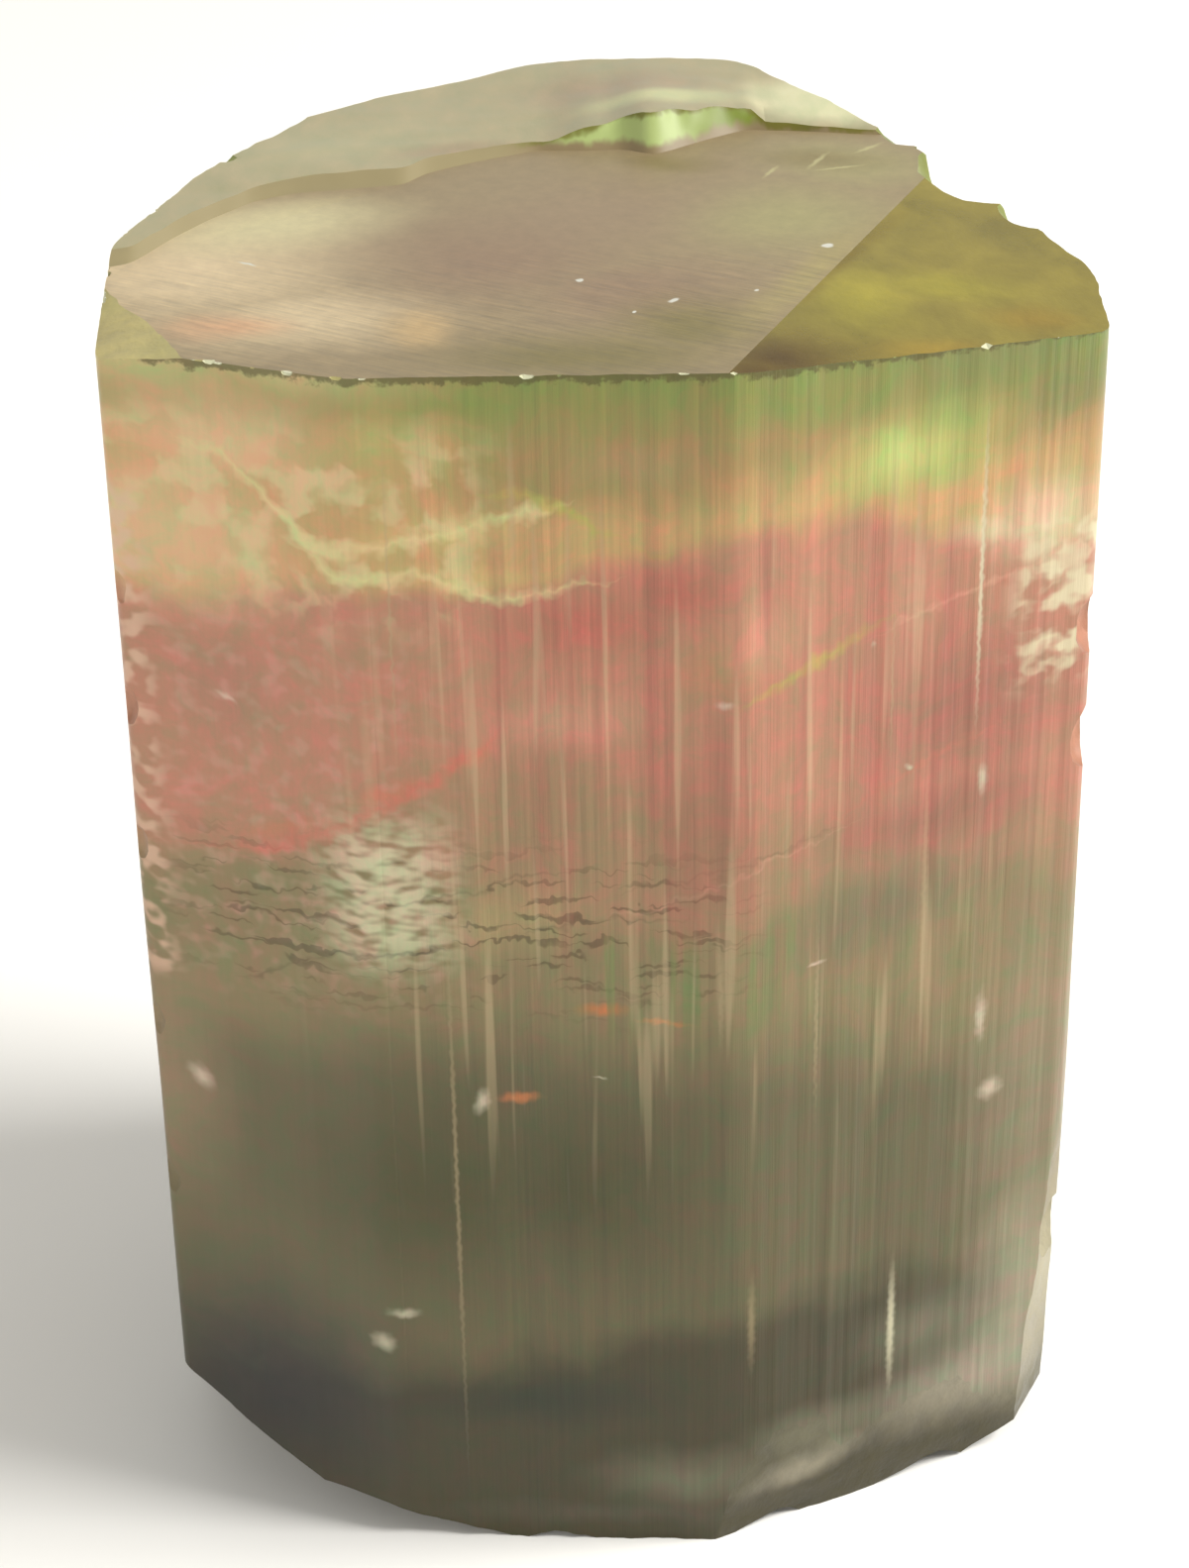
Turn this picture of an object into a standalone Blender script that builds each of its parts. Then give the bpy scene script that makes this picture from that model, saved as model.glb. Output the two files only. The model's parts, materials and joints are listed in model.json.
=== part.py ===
"""A stubby watermelon tourmaline crystal, 21 mm wide and 31 mm tall, standing on its broken lower end.

It is one natural piece: a rounded three-sided prism with striated sides, a broad top face, a smaller face
that falls away to the right, a raised ledge across the back of the top, chipped edges and a broken base.

Units are metres, +Z is up along the crystal's long axis, and the front faces -Y. The crystal is built and
cut in place, then moved so that the middle of its base is the origin.
"""

import math
import random

import bmesh
import bpy
from mathutils import Matrix, Vector, noise

MM = 0.001

# The prism's corners seen from above: x, y and the radius that rounds the corner, in mm
SECTION_CORNERS = (
    (-10.5, -7.25, 0.45),
    (-5.3, -9.35, 1.5),
    (2.7, -9.8, 2.0),
    (10.6, -6.05, 0.7),
    (10.55, -3.2, 1.5),
    (7.7, 2.0, 5.0),
    (3.4, 8.2, 1.6),
    (-1.3, 9.1, 2.0),
    (-6.4, 6.5, 2.2),
    (-9.2, 1.9, 4.0),
    (-10.65, -2.2, 3.0),
)
ARC_STEPS = 6

# The striated sides: grooves run up them, and they waver a little along their height
COLUMNS = 224
GROOVE_DEPTH = 0.09 * MM
SMOOTH_SIDE_X = -5.0 * MM  # the front is nearly smooth to the left of this
SMOOTH_SIDE_SHARE = 0.3
RIDGE_SHARE = 0.3  # depth of the columns between the grooves, as a share
BEND_HEIGHTS = (5 * MM, 10 * MM, 15 * MM, 20 * MM, 25 * MM)
WAVER = 0.05 * MM
WAVER_SCALE = 140
UNCUT_HEIGHT = 33 * MM

# The broad top face
TOP_HEIGHT = 30.3 * MM
TOP_RISE = 0.02  # for each unit towards +X

# The face that falls away to the right, from a straight edge across the broad face
EDGE_FRONT = Vector((2.17, -9.59)) * MM
EDGE_BACK = Vector((7.19, -0.11)) * MM
RIGHT_FACE_FALL = math.radians(8.5)

# The ledge across the back of the top: its foot seen from above in mm, left to right
LEDGE_FOOT = (
    (-14.0, -3.6),
    (-10.2, -2.8),
    (-9.4, -1.4),
    (-8.7, -0.3),
    (-7.8, 0.7),
    (-6.8, 1.15),
    (-5.6, 1.3),
    (-4.4, 1.4),
    (-3.9, 2.1),
    (-2.9, 2.7),
    (-1.4, 3.3),
    (-0.2, 3.15),
    (0.6, 3.25),
    (1.2, 2.75),
    (1.7, 3.0),
    (2.5, 3.7),
    (3.4, 4.2),
    (4.6, 3.95),
    (6.6, 3.5),
    (14.0, 3.0),
)
LEDGE_LEAN = 0.7  # how far the ledge's face leans back, for each unit of height
LEDGE_FRONT_Y = 3.4 * MM
LEDGE_BACK_Y = 8.6 * MM
# How far the ledge stands above the broad face: x, then the rise at its front and at the back edge, in mm
LEDGE_RISES = (
    (-14.0, 0.20, 0.06),
    (-4.0, 0.20, 0.06),
    (-1.4, 0.16, 0.16),
    (0.0, 0.46, 0.26),
    (1.2, 0.80, 0.30),
    (2.4, 0.64, 0.30),
    (3.4, 0.44, 0.30),
    (3.9, 0.10, 0.36),
    (14.0, 0.0, 0.36),
)
LEDGE_RIPPLE = 0.07 * MM
LEDGE_CUTS = 47

# Breaks with an uneven face: a point on the break, the way it faces, and the unevenness, in mm
BREAKS = {
    "top_left": ((-9.3, -6.4, 30.13), (-0.20, -0.09, 0.97), 0.03),
    "top_right_back": ((9.6, -1.75, 30.15), (0.60, 0.30, 0.74), 0.10),
    "top_back_left": ((-6.0, 6.6, 30.2), (-0.42, 0.52, 0.74), 0.16),
    "right_edge": ((10.2, -5.95, 5.0), (0.86, -0.50, -0.06), 0.10),
    "base_left": ((-9.35, -7.3, 2.6), (-0.66, -0.30, -0.69), 0.10),
    "base_left_low": ((-7.3, -8.3, 1.0), (-0.28, -0.38, -0.88), 0.08),
    "base_front_right": ((6.1, -8.1, 2.0), (0.42, -0.90, -0.11), 0.10),
    "base_right": ((10.2, -5.9, 0.8), (0.40, -0.06, -0.91), 0.12),
    "base_back": ((1.5, 8.6, 1.2), (0.10, 0.66, -0.74), 0.14),
    "base_back_left": ((-7.6, 4.8, 1.6), (-0.58, 0.40, -0.71), 0.14),
}
BREAK_SIZE = 26 * MM
BREAK_CUTS = 15
BREAK_LUMPS = 450

# Small rounded chips along the edges: x, y, z of the middle and the radius, in mm
CHIPS = (
    (-10.2, -0.2, 30.9, 0.9),
    (-8.6, 3.0, 31.0, 1.0),
    (-2.8, 9.0, 31.0, 0.9),
    (8.8, 1.3, 30.8, 1.8),
    (7.3, 3.6, 31.4, 1.3),
    (9.6, -0.6, 30.4, 0.9),
    (-10.85, -7.6, 24.6, 0.7),
    (-10.9, -7.5, 21.7, 0.75),
    (-10.9, -7.5, 18.3, 0.7),
    (-10.85, -7.6, 13.6, 0.7),
    (-10.9, -7.5, 9.2, 0.75),
    (11.0, -6.1, 22.6, 0.9),
    (11.1, -5.9, 19.8, 1.0),
    (11.1, -5.9, 6.2, 1.1),
)
CHIP_LUMPS = 0.12

# Shallow scars round the rim of the base, between the points that the crystal stands on
SCARS = 13
SCAR_RADIUS = (1.6 * MM, 3.0 * MM)
SCAR_DEPTH = (0.15 * MM, 0.45 * MM)
SCAR_INSET = 0.92  # how far out the scars lie, as a share of the section

STONE_COLOUR = (0.36, 0.22, 0.12, 1.0)
STONE_ROUGHNESS = 0.25
STONE_IOR = 1.62
STONE_TRANSMISSION = 0.5


def clear_scene():
    for old in list(bpy.data.objects):
        bpy.data.objects.remove(old)


def new_collection(name):
    collection = bpy.data.collections.new(name)
    bpy.context.scene.collection.children.link(collection)
    return collection


def new_object(name, shape, collection):
    """The bmesh as an object in the collection. The bmesh is freed."""
    bmesh.ops.triangulate(shape, faces=shape.faces)
    bmesh.ops.recalc_face_normals(shape, faces=shape.faces)
    mesh = bpy.data.meshes.new(name)
    shape.to_mesh(mesh)
    shape.free()
    made = bpy.data.objects.new(name, mesh)
    collection.objects.link(made)
    return made


def rounded_section():
    """The prism's outline, anticlockwise from the left edge: straight sides joined by arcs."""
    corners = [(Vector((x, y)) * MM, radius * MM) for x, y, radius in SECTION_CORNERS]
    outline = []
    for index, (corner, radius) in enumerate(corners):
        before = (corners[index - 1][0] - corner).normalized()
        after = (corners[(index + 1) % len(corners)][0] - corner).normalized()
        half_angle = before.angle(after) / 2
        centre = corner + (before + after).normalized() * radius / math.sin(half_angle)
        spoke = corner + before * radius / math.tan(half_angle) - centre
        turn = math.pi - 2 * half_angle
        for step in range(ARC_STEPS + 1):
            outline.append(centre + Matrix.Rotation(turn * step / ARC_STEPS, 2) @ spoke)
    return outline


def evenly_spaced(outline, count):
    """count points at equal steps along the closed outline, each with its outward direction."""
    sides = [outline[(i + 1) % len(outline)] - point for i, point in enumerate(outline)]
    stride = sum(side.length for side in sides) / count
    found, passed, index = [], 0.0, 0
    for number in range(count):
        while passed + sides[index].length < number * stride:
            passed += sides[index].length
            index += 1
        along = sides[index].normalized()
        place = outline[index] + along * (number * stride - passed)
        found.append((place, Vector((along.y, -along.x))))
    return found


def groove_depth(number, place, draw):
    """How far in a column of the section lies: every second one is a groove of its own depth."""
    depth = GROOVE_DEPTH * draw.random() ** 2
    if number % 2:
        depth *= RIDGE_SHARE
    if place.y < 0 and place.x < SMOOTH_SIDE_X:
        depth *= SMOOTH_SIDE_SHARE
    return depth


def build_prism(collection):
    """The striated prism, uncut: a cylinder whose columns are moved onto the section."""
    draw = random.Random(4)
    columns = [
        (place - outward * groove_depth(number, place, draw), outward)
        for number, (place, outward) in enumerate(evenly_spaced(rounded_section(), COLUMNS))
    ]
    shape = bmesh.new()
    bmesh.ops.create_cone(
        shape,
        cap_ends=True,
        segments=COLUMNS,
        radius1=1,
        radius2=1,
        depth=UNCUT_HEIGHT,
        matrix=Matrix.Translation((0, 0, UNCUT_HEIGHT / 2)),
    )
    for height in BEND_HEIGHTS:
        everything = list(shape.verts) + list(shape.edges) + list(shape.faces)
        bmesh.ops.bisect_plane(shape, geom=everything, plane_co=(0, 0, height), plane_no=(0, 0, 1))
    for vert in shape.verts:
        turn = math.atan2(vert.co.y, vert.co.x) % math.tau
        place, outward = columns[round(turn / math.tau * COLUMNS) % COLUMNS]
        sway = WAVER * noise.noise(Vector((place.x, place.y, vert.co.z)) * WAVER_SCALE)
        vert.co.xy = place + outward * sway
    return new_object("tourmaline_crystal", shape, collection)


def new_cutter(name, shape, collection):
    cutter = new_object(name, shape, collection)
    cutter.hide_render = True
    cutter.display_type = "WIRE"
    return cutter


def top_height(x):
    return TOP_HEIGHT + TOP_RISE * x


def cut_broad_face(collection):
    """What lay above the broad top face, in front of the ledge."""
    foot = [Vector((x, y)) * MM for x, y in LEDGE_FOOT]
    corners = [Vector((foot[0].x, -14 * MM)), Vector((foot[-1].x, -14 * MM))]
    shape = bmesh.new()
    rim = [shape.verts.new((p.x, p.y, top_height(p.x))) for p in corners + foot[::-1]]
    face = shape.faces.new(rim)
    raised = bmesh.ops.extrude_face_region(shape, geom=[face])["geom"]
    lift = Vector((0, LEDGE_LEAN, 1)) * 6 * MM
    bmesh.ops.translate(shape, vec=lift, verts=[v for v in raised if isinstance(v, bmesh.types.BMVert)])
    new_cutter("cut_broad_face", shape, collection)


def block(size, cuts):
    """A cube of this size whose lower face is centred on the origin, cut into a grid."""
    shape = bmesh.new()
    bmesh.ops.create_cube(shape, size=size, matrix=Matrix.Translation((0, 0, size / 2)))
    if cuts:
        bmesh.ops.subdivide_edges(shape, edges=shape.edges, cuts=cuts, use_grid_fill=True)
    return shape


def cut_right_face(collection):
    """What lay above the face that falls away to the right."""
    along = (EDGE_BACK - EDGE_FRONT).normalized()
    middle = (EDGE_FRONT + EDGE_BACK) / 2
    edge = Vector((*middle, top_height(middle.x)))
    turned = Matrix.Rotation(math.atan2(along.y, along.x), 4, "Z")
    tilted = Matrix.Rotation(RIGHT_FACE_FALL, 4, "X")
    shape = block(50 * MM, 0)
    bmesh.ops.transform(shape, matrix=Matrix.Translation(edge) @ turned @ tilted, verts=shape.verts)
    new_cutter("cut_right_face", shape, collection)


def mix(first, second, share):
    return first + (second - first) * min(1.0, max(0.0, share))


def ledge_height(x, y):
    """The top of the ledge, which falls from its front to the back edge, with ripples."""
    for left, right in zip(LEDGE_RISES, LEDGE_RISES[1:]):
        if x / MM <= right[0]:
            break
    across = (x / MM - left[0]) / (right[0] - left[0])
    front = mix(left[1], right[1], across) * MM
    back = mix(left[2], right[2], across) * MM
    ripple = LEDGE_RIPPLE * noise.noise(Vector((x * 260, y * 520, 3)))
    return top_height(x) + mix(front, back, (y - LEDGE_FRONT_Y) / (LEDGE_BACK_Y - LEDGE_FRONT_Y)) + ripple


def cut_ledge_top(collection):
    """What lay above the ledge, with a rippled lower face."""
    shape = block(24 * MM, LEDGE_CUTS)
    for vert in shape.verts:
        if vert.co.z < 1e-6:
            vert.co.z = ledge_height(vert.co.x, vert.co.y)
        else:
            vert.co.z += UNCUT_HEIGHT
    new_cutter("cut_ledge_top", shape, collection)


def cut_break(name, point, facing, unevenness, collection):
    """A break with an uneven face: a block laid with its lower face on the break."""
    facing = Vector(facing).normalized()
    laid = Matrix.Translation(Vector(point) * MM) @ facing.to_track_quat("Z", "Y").to_matrix().to_4x4()
    shape = block(BREAK_SIZE, BREAK_CUTS)
    bmesh.ops.transform(shape, matrix=laid, verts=shape.verts)
    for vert in shape.verts:
        vert.co += facing * noise.noise(vert.co * BREAK_LUMPS) * unevenness * MM
    new_cutter("cut_" + name, shape, collection)


def cut_ball(name, middle, radius, collection):
    """A rounded chip: a lumpy ball."""
    shape = bmesh.new()
    bmesh.ops.create_icosphere(shape, subdivisions=3, radius=radius)
    for vert in shape.verts:
        vert.co *= 1 + CHIP_LUMPS * noise.noise(vert.co / radius * 1.7 + middle * 900)
    bmesh.ops.translate(shape, vec=middle, verts=shape.verts)
    new_cutter(name, shape, collection)


def cut_base_scars(collection):
    """Shallow rounded scars under the rim of the base."""
    draw = random.Random(11)
    rim = evenly_spaced(rounded_section(), SCARS)
    for number, (place, outward) in enumerate(rim):
        radius = draw.uniform(*SCAR_RADIUS)
        depth = draw.uniform(*SCAR_DEPTH)
        middle = Vector((place.x * SCAR_INSET, place.y * SCAR_INSET, depth - radius))
        cut_ball(f"cut_scar_{number}", middle, radius, collection)


def stone_material():
    material = bpy.data.materials.new("tourmaline")
    material.use_nodes = True
    shader = material.node_tree.nodes["Principled BSDF"]
    shader.inputs["Base Color"].default_value = STONE_COLOUR
    shader.inputs["Roughness"].default_value = STONE_ROUGHNESS
    shader.inputs["Metallic"].default_value = 0.0
    shader.inputs["IOR"].default_value = STONE_IOR
    shader.inputs["Transmission Weight"].default_value = STONE_TRANSMISSION
    return material


def cut_all(crystal, cutters):
    for cutter in cutters.objects:
        cut = crystal.modifiers.new(cutter.name, "BOOLEAN")
        cut.operation = "DIFFERENCE"
        cut.solver = "EXACT"
        cut.object = cutter


def stand_on_origin(crystal, cutters):
    """Hangs everything on an empty that puts the middle of the crystal's base at the origin."""
    bpy.context.view_layer.update()
    shaped = crystal.evaluated_get(bpy.context.evaluated_depsgraph_get()).data
    low = Vector(min(v.co[axis] for v in shaped.vertices) for axis in range(3))
    high = Vector(max(v.co[axis] for v in shaped.vertices) for axis in range(3))
    stand = bpy.data.objects.new("crystal_stand", None)
    bpy.context.scene.collection.objects.link(stand)
    for thing in [crystal, *cutters.objects]:
        thing.parent = stand
    stand.location = (-(low.x + high.x) / 2, -(low.y + high.y) / 2, -low.z)


def build_crystal():
    clear_scene()
    crystal = build_prism(new_collection("watermelon_tourmaline_crystal"))
    cutters = new_collection("cutters")
    cut_broad_face(cutters)
    cut_right_face(cutters)
    cut_ledge_top(cutters)
    for name, (point, facing, unevenness) in BREAKS.items():
        cut_break(name, point, facing, unevenness, cutters)
    for number, (x, y, z, radius) in enumerate(CHIPS):
        cut_ball(f"cut_chip_{number}", Vector((x, y, z)) * MM, radius * MM, cutters)
    cut_base_scars(cutters)
    cut_all(crystal, cutters)
    stand_on_origin(crystal, cutters)
    crystal.data.materials.append(stone_material())


build_crystal()
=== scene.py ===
"""The looks of a watermelon tourmaline crystal: its fine surface, its stone, its light and its camera.

The crystal is built again here at a fine grain, from the same dimensions as its solid: the striated
prism, then the two top faces, the ledge, the breaks and the chips, each cut by a shape of its own. What a
cutter leaves keeps the cutter's material, so each kind of surface has its own finish.

Lengths are in metres, or in mm where a table says so. +Z is up and the front faces -Y. `around` is the
distance round the prism in mm, measured on a circle of AROUND_RADIUS: 0 at the middle of the front, and
positive to the right.
"""

import json
import math
import random

import bmesh
import bpy
from mathutils import Matrix, Vector, noise

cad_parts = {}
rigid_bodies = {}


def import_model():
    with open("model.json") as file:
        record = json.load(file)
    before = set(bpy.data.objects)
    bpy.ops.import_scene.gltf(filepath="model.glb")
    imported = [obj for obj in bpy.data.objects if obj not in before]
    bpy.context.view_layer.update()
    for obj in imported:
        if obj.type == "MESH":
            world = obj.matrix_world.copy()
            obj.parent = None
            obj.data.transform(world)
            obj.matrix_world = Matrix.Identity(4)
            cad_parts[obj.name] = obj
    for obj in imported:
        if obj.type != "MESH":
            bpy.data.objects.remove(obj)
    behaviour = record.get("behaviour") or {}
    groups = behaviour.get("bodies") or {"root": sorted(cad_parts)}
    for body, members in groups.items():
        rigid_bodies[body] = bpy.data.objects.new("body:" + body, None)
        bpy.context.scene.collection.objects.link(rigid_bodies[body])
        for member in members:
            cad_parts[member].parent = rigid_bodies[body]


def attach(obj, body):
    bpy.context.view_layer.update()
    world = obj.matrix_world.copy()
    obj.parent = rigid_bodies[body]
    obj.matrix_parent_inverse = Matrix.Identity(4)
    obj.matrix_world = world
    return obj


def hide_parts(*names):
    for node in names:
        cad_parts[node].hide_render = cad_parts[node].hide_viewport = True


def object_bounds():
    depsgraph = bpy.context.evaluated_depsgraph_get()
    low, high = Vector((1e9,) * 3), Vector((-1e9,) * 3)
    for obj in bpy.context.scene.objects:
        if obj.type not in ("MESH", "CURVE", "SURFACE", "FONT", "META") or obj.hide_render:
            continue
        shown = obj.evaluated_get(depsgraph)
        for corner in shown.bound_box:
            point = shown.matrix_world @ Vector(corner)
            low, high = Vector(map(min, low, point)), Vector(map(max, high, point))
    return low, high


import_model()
cad_low, cad_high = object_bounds()

MM = 0.001
NODE = "tourmaline_crystal"
AROUND_RADIUS = 10.5

# ---------------------------------------------------------------- the shape's dimensions, as in the solid

# The prism's corners seen from above: x, y and the radius that rounds the corner, in mm
SECTION_CORNERS = (
    (-10.5, -7.25, 0.45),
    (-5.3, -9.35, 1.5),
    (2.7, -9.8, 2.0),
    (10.6, -6.05, 0.7),
    (10.55, -3.2, 1.5),
    (7.7, 2.0, 5.0),
    (3.4, 8.2, 1.6),
    (-1.3, 9.1, 2.0),
    (-6.4, 6.5, 2.2),
    (-9.2, 1.9, 4.0),
    (-10.65, -2.2, 3.0),
)
ARC_STEPS = 12
UNCUT_HEIGHT = 33 * MM

# The striated sides
COLUMNS = 1240
GIRTH = 63.0  # round the prism, in mm
LEVELS = 30
# Striae of several widths: how many to the mm, and how deep they lie in mm
STRIAE = ((0.8, 0.050), (2.1, 0.022), (5.2, 0.010))
STRIA_FADE = 0.05  # how fast a stria changes along the height, per mm
SMOOTH_SIDE_X = -5.0 * MM
SMOOTH_SIDE_SHARE = 0.35
WAVER = 0.03 * MM
WAVER_SCALE = 140
FRONT_REACH = math.radians(76)  # how far round the markings of the front go, to each side

# The broad top face and the face that falls away to the right
TOP_HEIGHT = 30.3 * MM
TOP_RISE = 0.02
EDGE_FRONT = Vector((2.17, -9.59)) * MM
EDGE_BACK = Vector((7.19, -0.11)) * MM
RIGHT_FACE_FALL = math.radians(8.5)

# The ledge across the back of the top: its foot seen from above in mm, left to right
LEDGE_FOOT = (
    (-14.0, -3.6),
    (-10.2, -2.8),
    (-9.4, -1.4),
    (-8.7, -0.3),
    (-7.8, 0.7),
    (-6.8, 1.15),
    (-5.6, 1.3),
    (-4.4, 1.4),
    (-3.9, 2.1),
    (-2.9, 2.7),
    (-1.4, 3.3),
    (-0.2, 3.15),
    (0.6, 3.25),
    (1.2, 2.75),
    (1.7, 3.0),
    (2.5, 3.7),
    (3.4, 4.2),
    (4.6, 3.95),
    (6.6, 3.5),
    (14.0, 3.0),
)
FOOT_STEP = 0.12 * MM
FOOT_RAGGED = 0.05 * MM
FOOT_ROUNDING = 4  # how many times the foot's points are averaged with those beside them
# How far the ledge's face leans back as it rises: at the left, and from the middle on
LEDGE_LEANS = (2.4, 0.8)
LEDGE_LEAN_REACH = (-2.4 * MM, -1.0 * MM)
LEDGE_LAYERS = 10
FLAT_FACE = -0.98  # a face whose normal points down more than this is the flat top face
LEDGE_LAYER = 0.1 * MM
LEDGE_FRONT_Y = 3.4 * MM
LEDGE_BACK_Y = 8.6 * MM
LEDGE_RISES = (
    (-14.0, 0.20, 0.06),
    (-4.0, 0.20, 0.06),
    (-1.4, 0.16, 0.16),
    (0.0, 0.46, 0.26),
    (1.2, 0.80, 0.30),
    (2.4, 0.64, 0.30),
    (3.4, 0.44, 0.30),
    (3.9, 0.10, 0.36),
    (14.0, 0.0, 0.36),
)
LEDGE_RIPPLE = 0.05 * MM
LEDGE_CELL = 0.16 * MM

# Breaks: a point on the break, the way it faces, the unevenness and the size of the cut block, in mm
BREAKS = {
    "top_left": ((-9.3, -6.4, 30.13), (-0.20, -0.09, 0.97), 0.03, 8),
    "top_right_back": ((9.6, -1.75, 30.15), (0.60, 0.30, 0.74), 0.10, 10),
    "top_back_left": ((-6.0, 6.6, 30.2), (-0.42, 0.52, 0.74), 0.16, 10),
    "right_edge": ((10.2, -5.95, 5.0), (0.86, -0.50, -0.06), 0.10, 14),
    "base_left": ((-9.35, -7.3, 2.6), (-0.66, -0.30, -0.69), 0.10, 14),
    "base_left_low": ((-7.3, -8.3, 1.0), (-0.28, -0.38, -0.88), 0.08, 14),
    "base_front_right": ((6.1, -8.1, 2.0), (0.42, -0.90, -0.11), 0.10, 16),
    "base_right": ((10.2, -5.9, 0.8), (0.40, -0.06, -0.91), 0.12, 12),
    "base_back": ((1.5, 8.6, 1.2), (0.10, 0.66, -0.74), 0.14, 16),
    "base_back_left": ((-7.6, 4.8, 1.6), (-0.58, 0.40, -0.71), 0.14, 16),
}
BREAK_CELL = 0.3 * MM
BREAK_LUMPS = 450
BREAK_GRAIN = (2600, 0.02 * MM)  # finer unevenness: its scale and depth

# Rounded chips: x, y, z of the middle and the radius, in mm
CHIPS = (
    (-10.2, -0.2, 30.9, 0.55),
    (-8.6, 3.0, 31.0, 0.7),
    (-2.8, 9.0, 31.0, 0.9),
    (8.8, 1.3, 30.8, 1.8),
    (7.3, 3.6, 31.4, 1.3),
    (9.6, -0.6, 30.4, 0.9),
    (-10.85, -7.6, 24.6, 0.7),
    (-10.9, -7.5, 21.7, 0.75),
    (-10.9, -7.5, 18.3, 0.7),
    (-10.85, -7.6, 13.6, 0.7),
    (-10.9, -7.5, 9.2, 0.75),
    (11.0, -6.1, 22.6, 0.9),
    (11.1, -5.9, 19.8, 1.0),
    (11.1, -5.9, 6.2, 1.1),
)
CHIP_LUMPS = 0.12


def new_collection(name):
    collection = bpy.data.collections.new(name)
    bpy.context.scene.collection.children.link(collection)
    return collection


def new_object(name, shape, collection, material):
    """The bmesh as an object of one material. The bmesh is freed."""
    bmesh.ops.triangulate(shape, faces=shape.faces)
    bmesh.ops.recalc_face_normals(shape, faces=shape.faces)
    mesh = bpy.data.meshes.new(name)
    shape.to_mesh(mesh)
    shape.free()
    mesh.materials.append(material)
    made = bpy.data.objects.new(name, mesh)
    collection.objects.link(made)
    return made


def rounded_section():
    """The prism's outline, anticlockwise from the left edge: straight sides joined by arcs."""
    corners = [(Vector((x, y)) * MM, radius * MM) for x, y, radius in SECTION_CORNERS]
    outline = []
    for index, (corner, radius) in enumerate(corners):
        before = (corners[index - 1][0] - corner).normalized()
        after = (corners[(index + 1) % len(corners)][0] - corner).normalized()
        half_angle = before.angle(after) / 2
        centre = corner + (before + after).normalized() * radius / math.sin(half_angle)
        spoke = corner + before * radius / math.tan(half_angle) - centre
        turn = math.pi - 2 * half_angle
        for step in range(ARC_STEPS + 1):
            outline.append(centre + Matrix.Rotation(turn * step / ARC_STEPS, 2) @ spoke)
    return outline


def evenly_spaced(outline, count, closed=True):
    """count points at equal steps along the outline, each with the direction to its right."""
    last = len(outline) if closed else len(outline) - 1
    sides = [outline[(i + 1) % len(outline)] - outline[i] for i in range(last)]
    stride = sum(side.length for side in sides) / (count if closed else count - 1)
    found, passed, index = [], 0.0, 0
    for number in range(count):
        while index < last - 1 and passed + sides[index].length < number * stride:
            passed += sides[index].length
            index += 1
        along = sides[index].normalized()
        place = outline[index] + along * (number * stride - passed)
        found.append((place, Vector((along.y, -along.x))))
    return found


def stria_depth(column, place, height):
    """How far in the side lies at this column and height: striae of several widths."""
    along = column * GIRTH / COLUMNS
    depth = 0.0
    for density, deepest in STRIAE:
        wave = noise.noise(Vector((along * density, height / MM * STRIA_FADE, density * 7)))
        depth += deepest * MM * min(1.0, abs(wave) * 2)
    if place.y < 0 and place.x < SMOOTH_SIDE_X:
        depth *= SMOOTH_SIDE_SHARE
    return depth


def build_prism(collection, materials):
    """The striated prism, uncut: a cylinder whose columns are moved onto the section."""
    columns = evenly_spaced(rounded_section(), COLUMNS)
    shape = bmesh.new()
    bmesh.ops.create_cone(
        shape,
        cap_ends=True,
        segments=COLUMNS,
        radius1=1,
        radius2=1,
        depth=UNCUT_HEIGHT,
        matrix=Matrix.Translation((0, 0, UNCUT_HEIGHT / 2)),
    )
    upright = [edge for edge in shape.edges if abs(edge.verts[0].co.z - edge.verts[1].co.z) > MM]
    bmesh.ops.subdivide_edges(shape, edges=upright, cuts=LEVELS - 1, use_grid_fill=True)
    for vert in shape.verts:
        turn = math.atan2(vert.co.y, vert.co.x) % math.tau
        number = round(turn / math.tau * COLUMNS) % COLUMNS
        place, outward = columns[number]
        sway = WAVER * noise.noise(Vector((place.x, place.y, vert.co.z)) * WAVER_SCALE)
        vert.co.xy = place + outward * (sway - stria_depth(number, place, vert.co.z))
    prism = new_object("crystal", shape, collection, materials["front"])
    prism.data.materials.append(materials["back"])
    prism.data.materials.append(materials["base"])
    for polygon in prism.data.polygons:
        turn = math.atan2(polygon.center.x, -polygon.center.y)
        if abs(polygon.normal.z) > 0.5:
            polygon.material_index = 2
        elif abs(turn) > FRONT_REACH:
            polygon.material_index = 1
    return prism


def top_height(x):
    return TOP_HEIGHT + TOP_RISE * x


def mix(first, second, share):
    return first + (second - first) * min(1.0, max(0.0, share))


def smooth(share):
    share = min(1.0, max(0.0, share))
    return share * share * (3 - 2 * share)


def ledge_lean(x):
    """How far the ledge's face leans back for each unit that it rises."""
    first, last = LEDGE_LEAN_REACH
    return mix(*LEDGE_LEANS, smooth((x - first) / (last - first)))


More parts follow.
